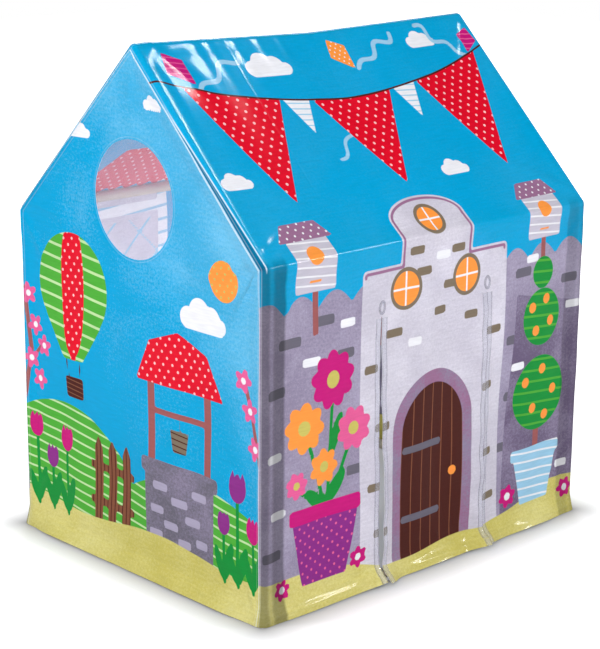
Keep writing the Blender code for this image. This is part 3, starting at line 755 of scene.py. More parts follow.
def gable_layers():
    """The gable print: a balloon over green hills, and a garden well with tulips and a fence."""
    basket_lines = [([(-222, 410), (-215, 365)], 2), ([(-178, 410), (-185, 365)], 2)]
    bag = each(polygon, [[(-290, 490), (-110, 490), (-172, 405), (-228, 405)]])
    balloon = together(each(disc, [(-200, 560, 112)]), bag)
    pickets = [[(c - 13, 60), (c + 13, 60), (c + 13, 235), (c, 262), (c - 13, 235)] for c in (-125, -80, -35)]
    fence = together(each(polygon, pickets), each(slab, [(-80, 195), (-80, 120)], 70, 8))
    bucket = together(each(pot, [(130, 285, 330, 18, 25)]), each(strip, [([(130, 330), (130, 360)], 2)]))
    well_roof = [(5, 415), (255, 415), (215, 500), (130, 530), (45, 500)]
    branches = [
        ([(-372, 270), (-345, 400), (-362, 530)], 6), ([(-352, 370), (-305, 420)], 4),
        ([(372, 300), (345, 400), (318, 475)], 5),
    ]

    def gores(x, y):
        bow = 112 * np.sqrt(np.clip(1 - ((y - 560) / 150) ** 2, 0.05, 1.0))
        return np.maximum((np.abs((x + 200) / bow) - 0.33) * bow, balloon(x, y))

    return [
        ("far_cloud", each(cloud, [(205, 560, 130), (-170, 880, 75), (60, 955, 60)]), "white"),
        ("sun", each(disc, [(262, 655, 40)]), "orange", "dots", "sand", 0.016),
        ("hills", each(oval, [(-240, 60, 260, 245), (180, 20, 300, 215)]), "green", "stripes", "green_light", 0.021),
        ("balloon_lines", each(strip, basket_lines), "brown"),
        ("balloon", balloon, "green", "stripes", "green_light", 0.028),
        ("balloon_gores", gores, "red", *GABLE_DOTS),
        ("basket", each(slab, [(-200, 345, 27, 23, 6)]), "brown", "stripes", "brown_light", 0.010),
        ("fence", fence, "brown_light", "planks", "brown", 0.012),
        ("well_posts", each(slab, [(50, 315, 10, 120), (210, 315, 10, 120), (130, 360, 85, 6)]), "wood"),
        ("well_roof", each(polygon, [well_roof]), "red", *GABLE_DOTS),
        ("well_bucket", bucket, "taupe", "stripes", "brown", 0.012),
        ("well", each(slab, [(130, 150, 100, 95, 12), (130, 243, 112, 15, 8)]), "grey", "mottle", "stone", 10.0),
        ("well_bricks", each(brick, WELL_BRICKS, 21, 8.5), "stone_light"),
        ("ground", lambda x, y: (y - 88 - 10 * np.sin(x * 0.013 + 0.8)) * 0.95, "sand", *CHALKY_SAND),
        ("branches", each(strip, branches), "wood"),
        ("blossoms", each(petals, [(cx, cy, 24, 5, cx * 0.020) for cx, cy in BLOSSOMS]), "pink"),
        ("blossom_hearts", each(disc, BLOSSOMS, 7), "white"),
        ("stems", tulip_plants(GABLE_TULIPS, 60, 4.2, 65, (26, 145, 22), (-24, 130, 20)), "leaf"),
        ("tulips_magenta", each(tulip, GABLE_TULIPS[0::2]), "magenta"),
        ("tulips_purple", each(tulip, GABLE_TULIPS[1::2]), "purple"),
    ]


# Materials


class Graph:
    """Adds nodes to a material or a world and joins them."""

    def __init__(self, block, output="ShaderNodeOutputMaterial"):
        self.block = block
        block.use_nodes = True
        self.tree = block.node_tree
        self.tree.nodes.clear()
        self.output = self.tree.nodes.new(output)

    def put(self, socket, value):
        if isinstance(value, bpy.types.NodeSocket):
            self.tree.links.new(value, socket)
        elif value is not None:
            socket.default_value = (*value, 1.0) if socket.type == "RGBA" and len(value) == 3 else value

    def node(self, kind, inputs=None, **settings):
        """A new node's outputs, after its settings and inputs are set."""
        node = self.tree.nodes.new("ShaderNode" + kind)
        for key, value in settings.items():
            setattr(node, key, value)
        for key, value in (inputs or {}).items():
            self.put(node.inputs[key], value)
        return node.outputs

    def show(self, surface):
        self.put(self.output.inputs["Surface"], surface)
        return self.block

    def principled(self, **inputs):
        """A Principled shader. Its inputs are named with underscores for spaces."""
        named = {key.replace("_", " "): value for key, value in inputs.items()}
        return self.node("BsdfPrincipled", named)[0]

    def math(self, operation, a, b=None, clamp=False):
        return self.node("Math", {0: a, 1: b}, operation=operation, use_clamp=clamp)[0]

    def times(self, first, *others):
        for other in others:
            first = self.math("MULTIPLY", first, other)
        return first

    def vector(self, operation, a, b=None):
        outputs = self.node("VectorMath", {0: a, 1: b}, operation=operation)
        return outputs["Value" if operation in ("LENGTH", "DOT_PRODUCT") else "Vector"]

    def fit(self, value, low, high, to_low=0.0, to_high=1.0):
        """A value between low and high, moved to the same place between to_low and to_high."""
        ends = {"From Min": low, "From Max": high, "To Min": to_low, "To Max": to_high}
        return self.node("MapRange", {"Value": value, **ends})["Result"]

    def fit_from(self, value, middle, near, far):
        """A value's distance from the middle, 0 at near and 1 at far."""
        return self.fit(self.math("ABSOLUTE", self.math("SUBTRACT", value, middle)), near, far)

    def mix(self, share, first, second):
        return self.node("Mix", {0: share, 6: first, 7: second}, data_type="RGBA")[2]

    def brightened(self, colour, value):
        return self.node("HueSaturation", {"Color": colour, "Value": value})[0]

    def noise(self, vector, scale, detail=3.0, roughness=0.55, distortion=0.0):
        inputs = {"Vector": vector, "Scale": scale, "Detail": detail, "Roughness": roughness, "Distortion": distortion}
        return self.node("TexNoise", inputs)["Fac"]

    def bump(self, height, distance, normal=None):
        return self.node("Bump", {"Height": height, "Distance": distance, "Normal": normal})["Normal"]

    def attribute(self, name):
        return self.node("Attribute", attribute_name=name)["Fac"]

    def split(self, vector):
        return self.node("SeparateXYZ", {0: vector})

    def flat_place(self):
        """The place on the flat sheet, in metres."""
        return self.node("UVMap", uv_map="flat")[0]

    def own_place(self):
        return self.node("TexCoord")["Object"]

    def rays(self):
        """1 for a camera ray, a glossy ray and a ray through clear film."""
        path = self.node("LightPath")
        return [path[f"Is {ray} Ray"] for ray in ("Camera", "Glossy", "Transmission")]


EDGE_BLUR = 0.0006
WINDOW_ROW = 0.600
WINDOW_STEP = 0.135
DOT_TURN = math.radians(38)
STRIPE_SLANT = 0.10
STRIPE_SHARE = 0.105
STRIPE_BLUR = 0.0004
TRANSLUCENT_SHARE = 0.30
WHITE = (1.0, 1.0, 1.0)
# How chalky a print's sky is, how much lighter it gets across, up and everywhere, and whether the painted shade and
# highlights of the rafter seams are drawn over it. On the gables the lightening to the upper right is a painted sheen.
PRINTS = {
    "front_print": (0.09, (0.0, 0.0, 0.0), True),
    "back_print": (0.09, (0.0, 0.0, 0.0), True),
    "gable_print": (0.80, (1.8, 1.3, -0.92), False),
}
# Red, green and blue as on a screen, opacity and roughness
CLEAR_FILMS = {
    "pane_milky_film": (205, 200, 222, 0.16, 0.14),
    "strip_clear_film": (200, 202, 216, 0.16, 0.10),
    "ring_film": (206, 210, 222, 0.24, 0.12),
    "strip_rim": (214, 216, 226, 0.30, 0.20),
}
TUBE_ROUGHNESS, JOINT_ROUGHNESS = 0.42, 0.38


def chalk(graph, where, scale, low, high):
    """Chalky strokes: broad patches that break up into fine grain at their edges."""
    broad = graph.times(graph.noise(where, scale, 3.0, 0.5, 0.6), 0.42)
    grain = graph.times(graph.noise(where, 170.0, 5.0, 0.85), 0.58)
    return graph.fit(graph.math("ADD", broad, grain), low, high)


def pattern_share(graph, where, kind, scale):
    """Where the second colour of a print layer shows."""
    if kind == "mottle":
        return chalk(graph, where, scale, 0.43, 0.60)
    if kind == "dots":
        turned = {"Vector": where, "Rotation": (0, 0, DOT_TURN), "Scale": (1 / scale, 1 / scale, 1 / scale)}
        cell = graph.vector("FRACTION", graph.node("Mapping", turned)[0])
        flat = graph.vector("MULTIPLY", graph.vector("SUBTRACT", cell, (0.5, 0.5, 0.5)), (1.0, 1.0, 0.0))
        return graph.fit(graph.vector("LENGTH", flat), 0.175, 0.145)
    across, up = graph.split(where)[:2]
    if kind == "bars":
        upright = graph.math("PINGPONG", across, scale / 2)
        level = graph.math("PINGPONG", graph.math("SUBTRACT", up, WINDOW_ROW), WINDOW_STEP / 2)
        return graph.fit(graph.math("MINIMUM", upright, level), 0.0026, 0.0018)
    if kind == "planks":
        return graph.fit(graph.math("PINGPONG", across, scale / 2), 0.0018, 0.0010)
    slanted = graph.math("ADD", up, graph.times(across, STRIPE_SLANT))
    half = STRIPE_SHARE * scale
    return graph.fit(graph.math("PINGPONG", slanted, scale / 2), half + STRIPE_BLUR, half - STRIPE_BLUR)


def crinkle(graph, where):
    """Fine relief of the vinyl: slow dents, faint packing creases and a fine grain."""
    places = graph.split(where)
    drift = graph.times(graph.noise(where, 5.0, 1.0), 0.010)
    beats = [graph.math("PINGPONG", graph.math("ADD", places[k], drift), half) for k, half in ((0, 0.118), (1, 0.153))]
    normal = graph.bump(graph.noise(where, 10.0, 1.0, 0.4), 0.0009)
    normal = graph.bump(graph.fit(graph.math("MINIMUM", *beats), 0.0, 0.0045), 0.00016, normal)
    return graph.bump(graph.noise(where, 160.0, 2.0, 0.5), 0.000035, normal)


def painted_seam_shade_and_highlights(graph, where, colour):
    """Painted shade and painted highlights beside a rafter's seam: the slack fold painted dark, between two bright
    painted highlight lines that part towards the eave.
    """
    across, up = graph.split(where)[:2]
    inward = graph.math("SUBTRACT", SHEET_REACH, graph.math("ABSOLUTE", across))
    spread = graph.fit(up, WALL_RUN + 0.01, WALL_RUN + 0.43, 0.0125, 0.0)
    on_roof = graph.fit(up, WALL_RUN - 0.006, WALL_RUN + 0.004)
    below_crest = graph.fit(graph.math("SUBTRACT", spread, inward), 0.0, 0.0010)
    inside = graph.times(graph.fit(inward, 0.0016, 0.0024), below_crest)
    # Painted shade: the slack fold between the two lines is darkened towards deep blue
    colour = graph.mix(graph.times(inside, on_roof, 0.62), colour, (0.0, 0.04, 0.12))
    # Painted highlights: a bright line on the seam's lip and one on the crest of the fold
    outer = graph.times(graph.fit(inward, 0.0023, 0.0014), graph.fit(on_roof, 0.0, 1.0, 0.40, 0.70))
    crest = graph.fit_from(inward, graph.math("ADD", spread, 0.0012), 0.0016, 0.0009)
    crest = graph.times(crest, on_roof, graph.fit(spread, 0.0008, 0.0030, 0.0, 0.75))
    return graph.mix(graph.math("MAXIMUM", outer, crest), colour, linear(232, 240, 246))


def printed_film(name, layers):
    """Printed vinyl, coloured layer by layer from the piece's print attributes, with painted shade, painted highlights
    and, on the gables, a painted sheen laid over the print.
    """
    sky_mottle, drift, seam = PRINTS[name]
    colours = bpy.context.scene.play_tent_print
    graph = Graph(bpy.data.materials.new(name))
    where = graph.flat_place()
    # Chalky crayon strokes in the sky. On the gables they also carry a painted sheen that gets lighter towards the
    # upper right.
    chalk_and_painted_sheen = graph.math("ADD", graph.vector("DOT_PRODUCT", where, (*drift[:2], 0.0)), drift[2])
    chalk_and_painted_sheen = graph.math("ADD", chalk(graph, where, 4.2, 0.46, 0.62), chalk_and_painted_sheen)
    chalk_and_painted_sheen = graph.math("MULTIPLY", chalk_and_painted_sheen, sky_mottle, clamp=True)
    colour = graph.mix(chalk_and_painted_sheen, tuple(colours.sky), tuple(colours.sky_light))
    for key, _, own, *pattern in layers:
        own = tuple(getattr(colours, own))
        kind, second, scale = pattern or (None, None, None)
        if second:
            own = graph.mix(pattern_share(graph, where, kind, scale), own, tuple(getattr(colours, second)))
        distance = graph.attribute(key)
        if kind == "line":
            distance = graph.math("SUBTRACT", graph.math("ABSOLUTE", distance), scale)
        colour = graph.mix(graph.fit(distance, EDGE_BLUR, -EDGE_BLUR), colour, own)
    # Painted shade from the shade attribute: the print darkens in the band beside the corner posts
    colour = graph.brightened(colour, graph.fit(graph.attribute("shade"), 0.0, 1.0, 1.0, 0.44))
    if seam:
        colour = painted_seam_shade_and_highlights(graph, where, colour)
    strokes = graph.noise(graph.vector("MULTIPLY", where, (26.0, 210.0, 0.0)), 1.0, 3.0, 0.6)
    colour = graph.brightened(colour, graph.fit(strokes, 0.3, 0.7, 0.945, 1.055))
    colour = graph.brightened(colour, graph.fit(graph.noise(where, 2.3, 2.0, 0.5), 0.3, 0.7, 0.965, 1.03))
    roughness = graph.fit(graph.noise(where, 38.0, 4.0, 0.6), 0.3, 0.7, 0.28, 0.40)
    # Painted highlight: a pale line about 4.5 mm in from the weld edges stands for the glint on the welded edge. The
    # same line also raises a small bump.
    weld_ridge_and_highlight = graph.fit_from(graph.attribute("weld"), 0.0045, 0.0004, 0.0011)
    colour = graph.mix(graph.fit(weld_ridge_and_highlight, 0.0, 1.0, 0.16, 0.0), colour, linear(250, 250, 246))
    normal = graph.bump(weld_ridge_and_highlight, 0.00030, crinkle(graph, where))
    shell = graph.principled(
        Base_Color=colour, Roughness=roughness, IOR=1.46, Specular_IOR_Level=0.0, Normal=normal,
        Coat_Weight=0.32, Coat_Roughness=0.11, Coat_IOR=1.42, Coat_Normal=normal,
    )
    through = graph.node("BsdfTranslucent", {"Color": colour, "Normal": normal})[0]
    return graph.show(graph.node("MixShader", {0: TRANSLUCENT_SHARE, 1: shell, 2: through})[0])


def cut_edge(name):
    """The whitish cut edge of the film."""
    graph = Graph(bpy.data.materials.new(name))
    tone = graph.noise(graph.own_place(), 60.0, 3.0)
    colour = graph.mix(graph.fit(tone, 0.3, 0.7), linear(222, 222, 228), linear(240, 240, 244))
    return graph.show(graph.principled(Base_Color=colour, Roughness=0.30, Normal=graph.bump(tone, 0.0002)))


def clear_film(name):
    """Clear film with a faint milky tint."""
    red, green, blue, opacity, roughness = CLEAR_FILMS[name]
    graph = Graph(bpy.data.materials.new(name))
    where = graph.flat_place()
    cloudy = graph.noise(where, 6.0, 4.0, 0.6)
    milky = linear(min(red + 16, 255), min(green + 16, 255), min(blue + 14, 255))
    colour = graph.mix(graph.fit(cloudy, 0.3, 0.7), linear(red, green, blue), milky)
    normal = graph.bump(graph.noise(where, 14.0, 2.0), 0.0020)
    normal = graph.bump(graph.noise(where, 80.0, 3.0), 0.00012, normal)
    weld = graph.fit_from(graph.attribute("weld"), 0.0014, 0.0013, 0.0007)
    haze = graph.fit(cloudy, 0.25, 0.75, 0.85 * opacity, 1.15 * opacity)
    return graph.show(graph.principled(
        Base_Color=graph.mix(weld, colour, linear(142, 140, 156)), Roughness=roughness, IOR=1.48,
        Alpha=graph.math("MAXIMUM", haze, graph.times(weld, 0.22)), Normal=graph.bump(weld, 0.0008, normal),
    ))


def moulded_plastic(name, colour, roughness):
    """Moulded plastic with a faint flow of tone and fine scuffs."""
    graph = Graph(bpy.data.materials.new(name))
    where = graph.own_place()
    flow = graph.fit(graph.noise(where, 9.0, 4.0, 0.6), 0.32, 0.68)
    tone = graph.mix(flow, tuple(c * 0.86 for c in colour), tuple(colour))
    scuffs = graph.noise(where, 240.0, 4.0, 0.7)
    rough = graph.fit(scuffs, 0.3, 0.7, roughness - 0.05, roughness + 0.08)
    return graph.show(graph.principled(Base_Color=tone, Roughness=rough, Normal=graph.bump(scuffs, 0.00008)))


def shared(make, name, *arguments):
    """The material of that name, made at its first use."""
    return bpy.data.materials.get(name) or make(name, *arguments)


def printed(name, layers):
    """The materials of a printed sheet and of its cut edge."""
    return shared(printed_film, name, layers), shared(cut_edge, "film_cut_edge")


def clear(name):
    """The materials of a clear strip or ring and of its rim."""
    return shared(clear_film, name), shared(clear_film, "strip_rim")


# Making pieces

BODY, MOVING_BODY = "house", "door"
PRINT_REACH = 0.05
SAME_PLACE = 1e-6
SMOOTH_MOULDED, SMOOTH_FILM = math.radians(38), math.radians(50)


def new_piece(name, mesh, *materials):
    piece = bpy.data.objects.new(name, mesh)
    bpy.context.scene.collection.objects.link(piece)
    for material in materials:
        mesh.materials.append(material)
    return piece


def smoothed(mesh, sharp):
    mesh.polygons.foreach_set("use_smooth", [True] * len(mesh.polygons))
    mesh.set_sharp_from_angle(angle=sharp)


def finished(bm, name, *materials):
    """A bmesh made an object at the origin, smooth except at its sharp edges."""
    mesh = bpy.data.meshes.new(name)
    bm.to_mesh(mesh)
    bm.free()
    smoothed(mesh, SMOOTH_MOULDED)
    return new_piece(name, mesh, *materials)


def entered(piece, node, hinged=False):
    """Parents the piece to the standing body's empty, or bakes a hinged piece's place into its mesh, and hides the node
    it replaces.
    """
    if hinged:
        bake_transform(piece)
    else:
        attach(piece, BODY)
    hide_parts(node)


def flat_grid(across, run, keep=None):
    """A bmesh grid whose vertices lie at the given stations, in x and y. Faces outside keep are left out."""
    bm = bmesh.new()
    bmesh.ops.create_grid(bm, x_segments=len(across) - 1, y_segments=len(run) - 1, size=1.0)
    for vertex in bm.verts:
        i = int(round((vertex.co.x + 1) / 2 * (len(across) - 1)))
        j = int(round((vertex.co.y + 1) / 2 * (len(run) - 1)))
        vertex.co = (across[i], run[j], 0.0)
    if keep:
        lost = [face for face in bm.faces if not keep(face.calc_center_median())]
        bmesh.ops.delete(bm, geom=lost, context="FACES")
    return bm


def spun(profile, steps, closed=False):
    """A profile of radii and heights, spun about z."""
    bm = bmesh.new()
    rim = [bm.verts.new((radius, 0, height)) for radius, height in profile]
    ends = rim[1:] + rim[:1] if closed else rim[1:]
    edges = [bm.edges.new(pair) for pair in zip(rim, ends)]
    bmesh.ops.spin(
        bm, geom=rim + edges, cent=(0, 0, 0), axis=(0, 0, 1), angle=2 * math.pi, steps=steps, use_merge=True
    )
    bmesh.ops.remove_doubles(bm, verts=bm.verts, dist=SAME_PLACE)
    bmesh.ops.recalc_face_normals(bm, faces=bm.faces)
    return bm


def spun_disc(radii, steps):
    """A flat round grid that faces up."""
    bm = spun([(radius, 0) for radius in radii], steps)
    if sum(face.normal.z for face in bm.faces) < 0:
        bmesh.ops.reverse_faces(bm, faces=bm.faces)
    return bm


def store(mesh, name, values):
    layer = mesh.attributes.new(name, "FLOAT", "POINT")
    layer.data.foreach_set("value", np.asarray(values, np.float32))


def dressed_sheet(bm, name, place, materials, layers=(), weld=None, shade=None, thickness=None, turned=False):
    """Turns a flat bmesh into a film sheet with its points at their places in the room.

    The flat places go into a UV map, and the distances from the print's shapes, the weld and the painted shade into
    attributes. A turned sheet faces the other way and has its print mirrored.
    """
    if turned:
        bmesh.ops.reverse_faces(bm, faces=bm.faces)
    mesh = bpy.data.meshes.new(name)
    bm.to_mesh(mesh)
    bm.free()
    places = np.empty(len(mesh.vertices) * 3)
    mesh.vertices.foreach_get("co", places)
    across, run = places[0::3].copy(), places[1::3].copy()
    print_x = -across if turned else across
    corners = np.empty(len(mesh.loops), np.int32)
    mesh.loops.foreach_get("vertex_index", corners)
    flat = mesh.uv_layers.new(name="flat")
    flat.data.foreach_set("uv", np.stack([print_x, run], -1)[corners].astype(np.float32).ravel())
    for key, shape, *_ in layers:
        store(mesh, key, np.clip(shape(1000 * print_x, 1000 * run) / 1000, -PRINT_REACH, PRINT_REACH))
    if layers:
        store(mesh, "shade", shade(across, run) if shade else 0 * across)
    if weld:
        store(mesh, "weld", weld(across, run))
    mesh.vertices.foreach_set("co", place(across, run).astype(np.float32).ravel())
    mesh.update()
    piece = new_piece(name, mesh, *materials)
    solid = piece.modifiers.new("Thickness", "SOLIDIFY")
    solid.thickness = thickness or film().thickness
    solid.offset = -1.0
    solid.use_even_offset = False
    solid.material_offset_rim = len(materials) - 1
    freeze(piece)
    return piece


def freeze(piece):
    """Applies the modifiers of a piece and sets its shading."""
    graph = bpy.context.evaluated_depsgraph_get()
    source = piece.evaluated_get(graph)
    shaped = bpy.data.meshes.new_from_object(source, preserve_all_data_layers=True, depsgraph=graph)
    old = piece.data
    piece.modifiers.clear()
    piece.data = shaped
    bpy.data.meshes.remove(old)
    shaped.name = piece.name
    smoothed(shaped, SMOOTH_FILM)


HEM_ROWS = (0.060, 15)
SHEET_ACROSS = mirrored(stations(
    0.0, (0.146, 24), (FLAP_HALF, 3), (OPENING_HALF, 1), (0.20, 10), (0.435, 38), (POST_X, 5), (SHEET_REACH, 9)
))
BACK_ACROSS = mirrored(stations(0.0, (0.435, 72), (POST_X, 5), (SHEET_REACH, 9)))
FLAP_ACROSS = mirrored(stations(0.0, (0.110, 20), (FLAP_HALF, 12)))
SHEET_UP = stations(
    0.0, HEM_ROWS, (0.50, 66), (DOOR_TOP, 9), (WALL_RUN - 0.022, 19), (WALL_RUN + EAVE_ARC + 0.022, 12),
    (SHEET_RUN - 0.075, 66), (SHEET_RUN - RIDGE_ARC, 16), (SHEET_RUN, 5),
)
FLAP_UP = stations(0.0, HEM_ROWS, (0.50, 72), (DOOR_TOP, 14))
GABLE_ACROSS = mirrored(stations(0.0, (0.33, 60), (POST_Y - 0.0001, 8)))
# Over this height the gable's rows spread to follow its slopes.
GABLE_LEVEL = 0.088
GABLE_UP = np.concatenate([
    stations(HEM_Z, (HEM_Z + HEM_ROWS[0], HEM_ROWS[1]), (GABLE_LEVEL, 5))[:-1],
    GABLE_LEVEL + stations(0.0, (0.16, 22), (0.90, 120), (1.0, 14)),
])
GABLE_RIM_GAP = 0.0002
# The grid's vertices so near the window hole go onto its edge, or are smoothed.
HOLE_RIM, HOLE_SMOOTHED = 0.02, 0.016
# A ring's band is as wide all round, and its spokes start this far out.
RING_BAND = 0.006
RING_START = 0.4
STRIP_LIFT, STRIP_THICKNESS, STRIP_SHORT = 0.0007, 0.0004, 0.003
RING_LIFT, RING_THICKNESS = 0.0010, 0.0007
PANE_GAP, PANE_THICKNESS = 0.0003, 0.0004
PANE_SPOKES, RING_SPOKES = 96, 40


def painted_end_shade(across, run):
    """A painted shade: a darker band along both ends of a side sheet beside the posts, with a lighter painted highlight
    streak in it.
    """
    inward = SHEET_REACH - np.abs(across)
    # Painted shade, full at the end towards negative x and 0.55 of it at the other, with a lighter painted highlight
    # streak along the post
    band = (1 - step(inward, 0.060, 0.067)) * step(inward, 0.001, 0.006) * (1 - 0.5 * hump(inward, 0.026, 0.010))
    return band * np.where(across < 0, 1.0, 0.55) * (1 - step(run, WALL_RUN - 0.01, WALL_RUN + 0.03))


def sheet_weld(across, run):
    return np.minimum(SHEET_REACH - np.abs(across), SHEET_RUN - run)


def no_weld(across, run):
    return 0 * across + 0.1


class PLAYTENT_OT_front_sheet(bpy.types.Operator):
    """Front wall and roof slope in one length of printed film, with the doorway cut out"""

    bl_idname = "playtent.front_sheet"
    bl_label = "Front Sheet"

    def execute(self, context):
        layers = front_layers()
        piece = dressed_sheet(
            flat_grid(SHEET_ACROSS, SHEET_UP, keep=lambda c: abs(c.x) > OPENING_HALF or c.y > DOOR_TOP),
            "printed_front", lambda u, v: front_points(u, v, "wall"),
            printed("front_print", layers), layers, weld=sheet_weld, shade=painted_end_shade,
        )
        entered(piece, "front_sheet")
        return {"FINISHED"}


class PLAYTENT_OT_back_sheet(bpy.types.Operator):
    """Back wall and roof slope in one length of printed film"""

    bl_idname = "playtent.back_sheet"
    bl_label = "Back Sheet"

    def execute(self, context):
        layers = back_layers()
        piece = dressed_sheet(
            flat_grid(BACK_ACROSS, SHEET_UP), "printed_back", back_points,
            printed("back_print", layers), layers, weld=sheet_weld, shade=painted_end_shade, turned=True,
        )
        entered(piece, "back_sheet")
        return {"FINISHED"}


class PLAYTENT_OT_door_flap(bpy.types.Operator):
    """Door flap between the two slits"""

    bl_idname = "playtent.door_flap"
    bl_label = "Door Flap"

    def execute(self, context):
        layers = front_layers()
        piece = dressed_sheet(
            flat_grid(FLAP_ACROSS, FLAP_UP), "printed_flap", lambda u, v: front_points(u, v, "flap"),
            printed("front_print", layers), layers, weld=no_weld,
        )
        entered(piece, "door_flap", hinged=True)
        return {"FINISHED"}


class PLAYTENT_OT_gable_sheets(bpy.types.Operator):
    """The two pentagon gables of printed film, each with its round window hole"""

    bl_idname = "playtent.gable_sheets"
    bl_label = "Gable Sheets"

    def execute(self, context):
        layers = gable_layers()
        for name, side in SIDES:
            piece = dressed_sheet(
                self.flat(), "printed_gable_" + name, lambda h, z: gable_points(h, z, side),
                printed("gable_print", layers), layers, weld=self.weld, turned=side < 0,
            )
            entered(piece, "gable_sheet_" + name)
        return {"FINISHED"}

    def flat(self):
        """The flat pentagon with its round hole."""
        bm = flat_grid(GABLE_ACROSS, GABLE_UP)
        for vertex in bm.verts:
            if vertex.co.y >= GABLE_LEVEL - SAME_PLACE:
                high = float(gable_top(vertex.co.x)) - GABLE_RIM_GAP
                vertex.co.y = GABLE_LEVEL + (vertex.co.y - GABLE_LEVEL) * (high - GABLE_LEVEL)

        def reach(place):
            return math.hypot(place.x, place.y - WINDOW_Z)

        hole = [face for face in bm.faces if reach(face.calc_center_median()) < WINDOW_RADIUS]
        bmesh.ops.delete(bm, geom=hole, context="FACES")
        for vertex in bm.verts:
            if vertex.is_boundary and reach(vertex.co) < WINDOW_RADIUS + HOLE_RIM:
                middle = Vector((0, WINDOW_Z, 0))
                vertex.co = middle + (vertex.co - middle) * (WINDOW_RADIUS / reach(vertex.co))
        near = [v for v in bm.verts if not v.is_boundary and reach(v.co) < WINDOW_RADIUS + HOLE_SMOOTHED]
        bmesh.ops.smooth_vert(bm, verts=near, factor=0.5, use_axis_x=True, use_axis_y=True)
        return bm

    @staticmethod
    def weld(across, height):
        from_hole = np.abs(np.hypot(across, height - WINDOW_Z) - WINDOW_RADIUS)
        return np.minimum(gable_rim(across, height), from_hole)


class PLAYTENT_OT_window_panes(bpy.types.Operator):
    """The round panes of milky clear film behind the gable holes"""

    bl_idname = "playtent.window_panes"
    bl_label = "Window Panes"

    def execute(self, context):
        material = shared(clear_film, "pane_milky_film")
        behind = -(film().thickness + PANE_GAP)
        for name, side in SIDES:
            bm = spun_disc(stations(0.0, (PANE_RADIUS, 22)), PANE_SPOKES)
            bmesh.ops.translate(bm, verts=bm.verts, vec=(0, WINDOW_Z, 0))
            piece = dressed_sheet(
                bm, "pane_" + name, lambda h, z: gable_points(h, z, side, behind), (material,),
                thickness=PANE_THICKNESS, turned=side < 0,
            )
            entered(piece, "window_pane_" + name)
        return {"FINISHED"}


class PLAYTENT_OT_slit_strips(bpy.types.Operator):
    """Clear strips welded along both edges of each slit"""

    bl_idname = "playtent.slit_strips"
    bl_label = "Slit Strips"

    def execute(self, context):
        width = film().strip_width
        self.strips("flap", FLAP_HALF - width, width, "door_strip_", "printed_flap")
        self.strips("wall", OPENING_HALF, width, "wall_strip_", "printed_front")
        return {"FINISHED"}

    def strips(self, part, inner, width, node, cloth):
        top = DOOR_TOP - STRIP_SHORT
        run = stations(0.0, HEM_ROWS, (0.50, 66), (top, 9))
        for name, side in SIDES:
            across = np.sort(stations(side * inner, (side * (inner + width), 5)))
            piece = dressed_sheet(
                flat_grid(across, run), f"{part}_edge_strip_{name}", lambda u, v: front_points(u, v, part, STRIP_LIFT),
                clear("strip_clear_film"),
                weld=lambda u, v: np.minimum(np.abs(u) - inner, inner + width - np.abs(u)), thickness=STRIP_THICKNESS,
            )
            entered(piece, node + name, hinged=part == "flap")


class PLAYTENT_OT_slit_rings(bpy.types.Operator):
    """Oval clear rings that keep the slits from tearing on"""

    bl_idname = "playtent.slit_rings"
    bl_label = "Slit Rings"

    def execute(self, context):
        for name, _ in SIDES:
            low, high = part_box("slit_ring_" + name)
            middle = ((low.x + high.x) / 2, (low.z + high.z) / 2 - HEM_Z)
            half = ((high.x - low.x) / 2, (high.z - low.z) / 2)
            hole = (half[0] - RING_BAND, half[1] - RING_BAND)
            bm = spun_disc(stations(RING_START, (1.0, 4)), RING_SPOKES)
            for vertex in bm.verts:
                reach = vertex.co.to_2d().length
                outward = (reach - RING_START) / (1 - RING_START) * RING_BAND
                for k in (0, 1):
                    vertex.co[k] = middle[k] + vertex.co[k] / reach * (hole[k] + outward)

            def ring_weld(u, v):
                outer = 1 - np.hypot((u - middle[0]) / half[0], (v - middle[1]) / half[1])
                inner = np.hypot((u - middle[0]) / hole[0], (v - middle[1]) / hole[1]) - 1
                return np.minimum(outer * half[0], inner * hole[0])

            piece = dressed_sheet(
                bm, "slit_ring_film_" + name, lambda u, v: front_points(u, v, "wall", RING_LIFT),
                clear("ring_film"), weld=ring_weld, thickness=RING_THICKNESS,
            )
            entered(piece, "slit_ring_" + name)
        return {"FINISHED"}


ENDS = ("front", "back")
HANDS = ("left", "right")
TUBES = [
    *[f"{rail}_rail_{a}_{b}" for rail in ("base", "eave") for a in ENDS for b in HANDS],
    *["ridge_rail_" + b for b in HANDS],
    *[f"base_rail_{b}_{a}" for b in HANDS for a in ENDS],
    *[f"post_{a}_{b}_{c}" for a in ENDS for b in HANDS for c in ("lower", "upper")],
    *[f"rafter_{a}_{b}" for a in ENDS for b in HANDS],
]
FLAT_TURN, SHARP_TURN = math.radians(1), math.radians(40)
SHORTEST_SHARP, JOINT_BEVEL = 0.0012, 0.0004


def lower_ridge(bm, node):
    """Lets a ridge tube or its coupler hang as the film over it does."""
    if "ridge" in node and "corner" not in node:
        for vertex in bm.verts:
            vertex.co.z += float(ridge_drop(vertex.co.x, RIDGE_Z))


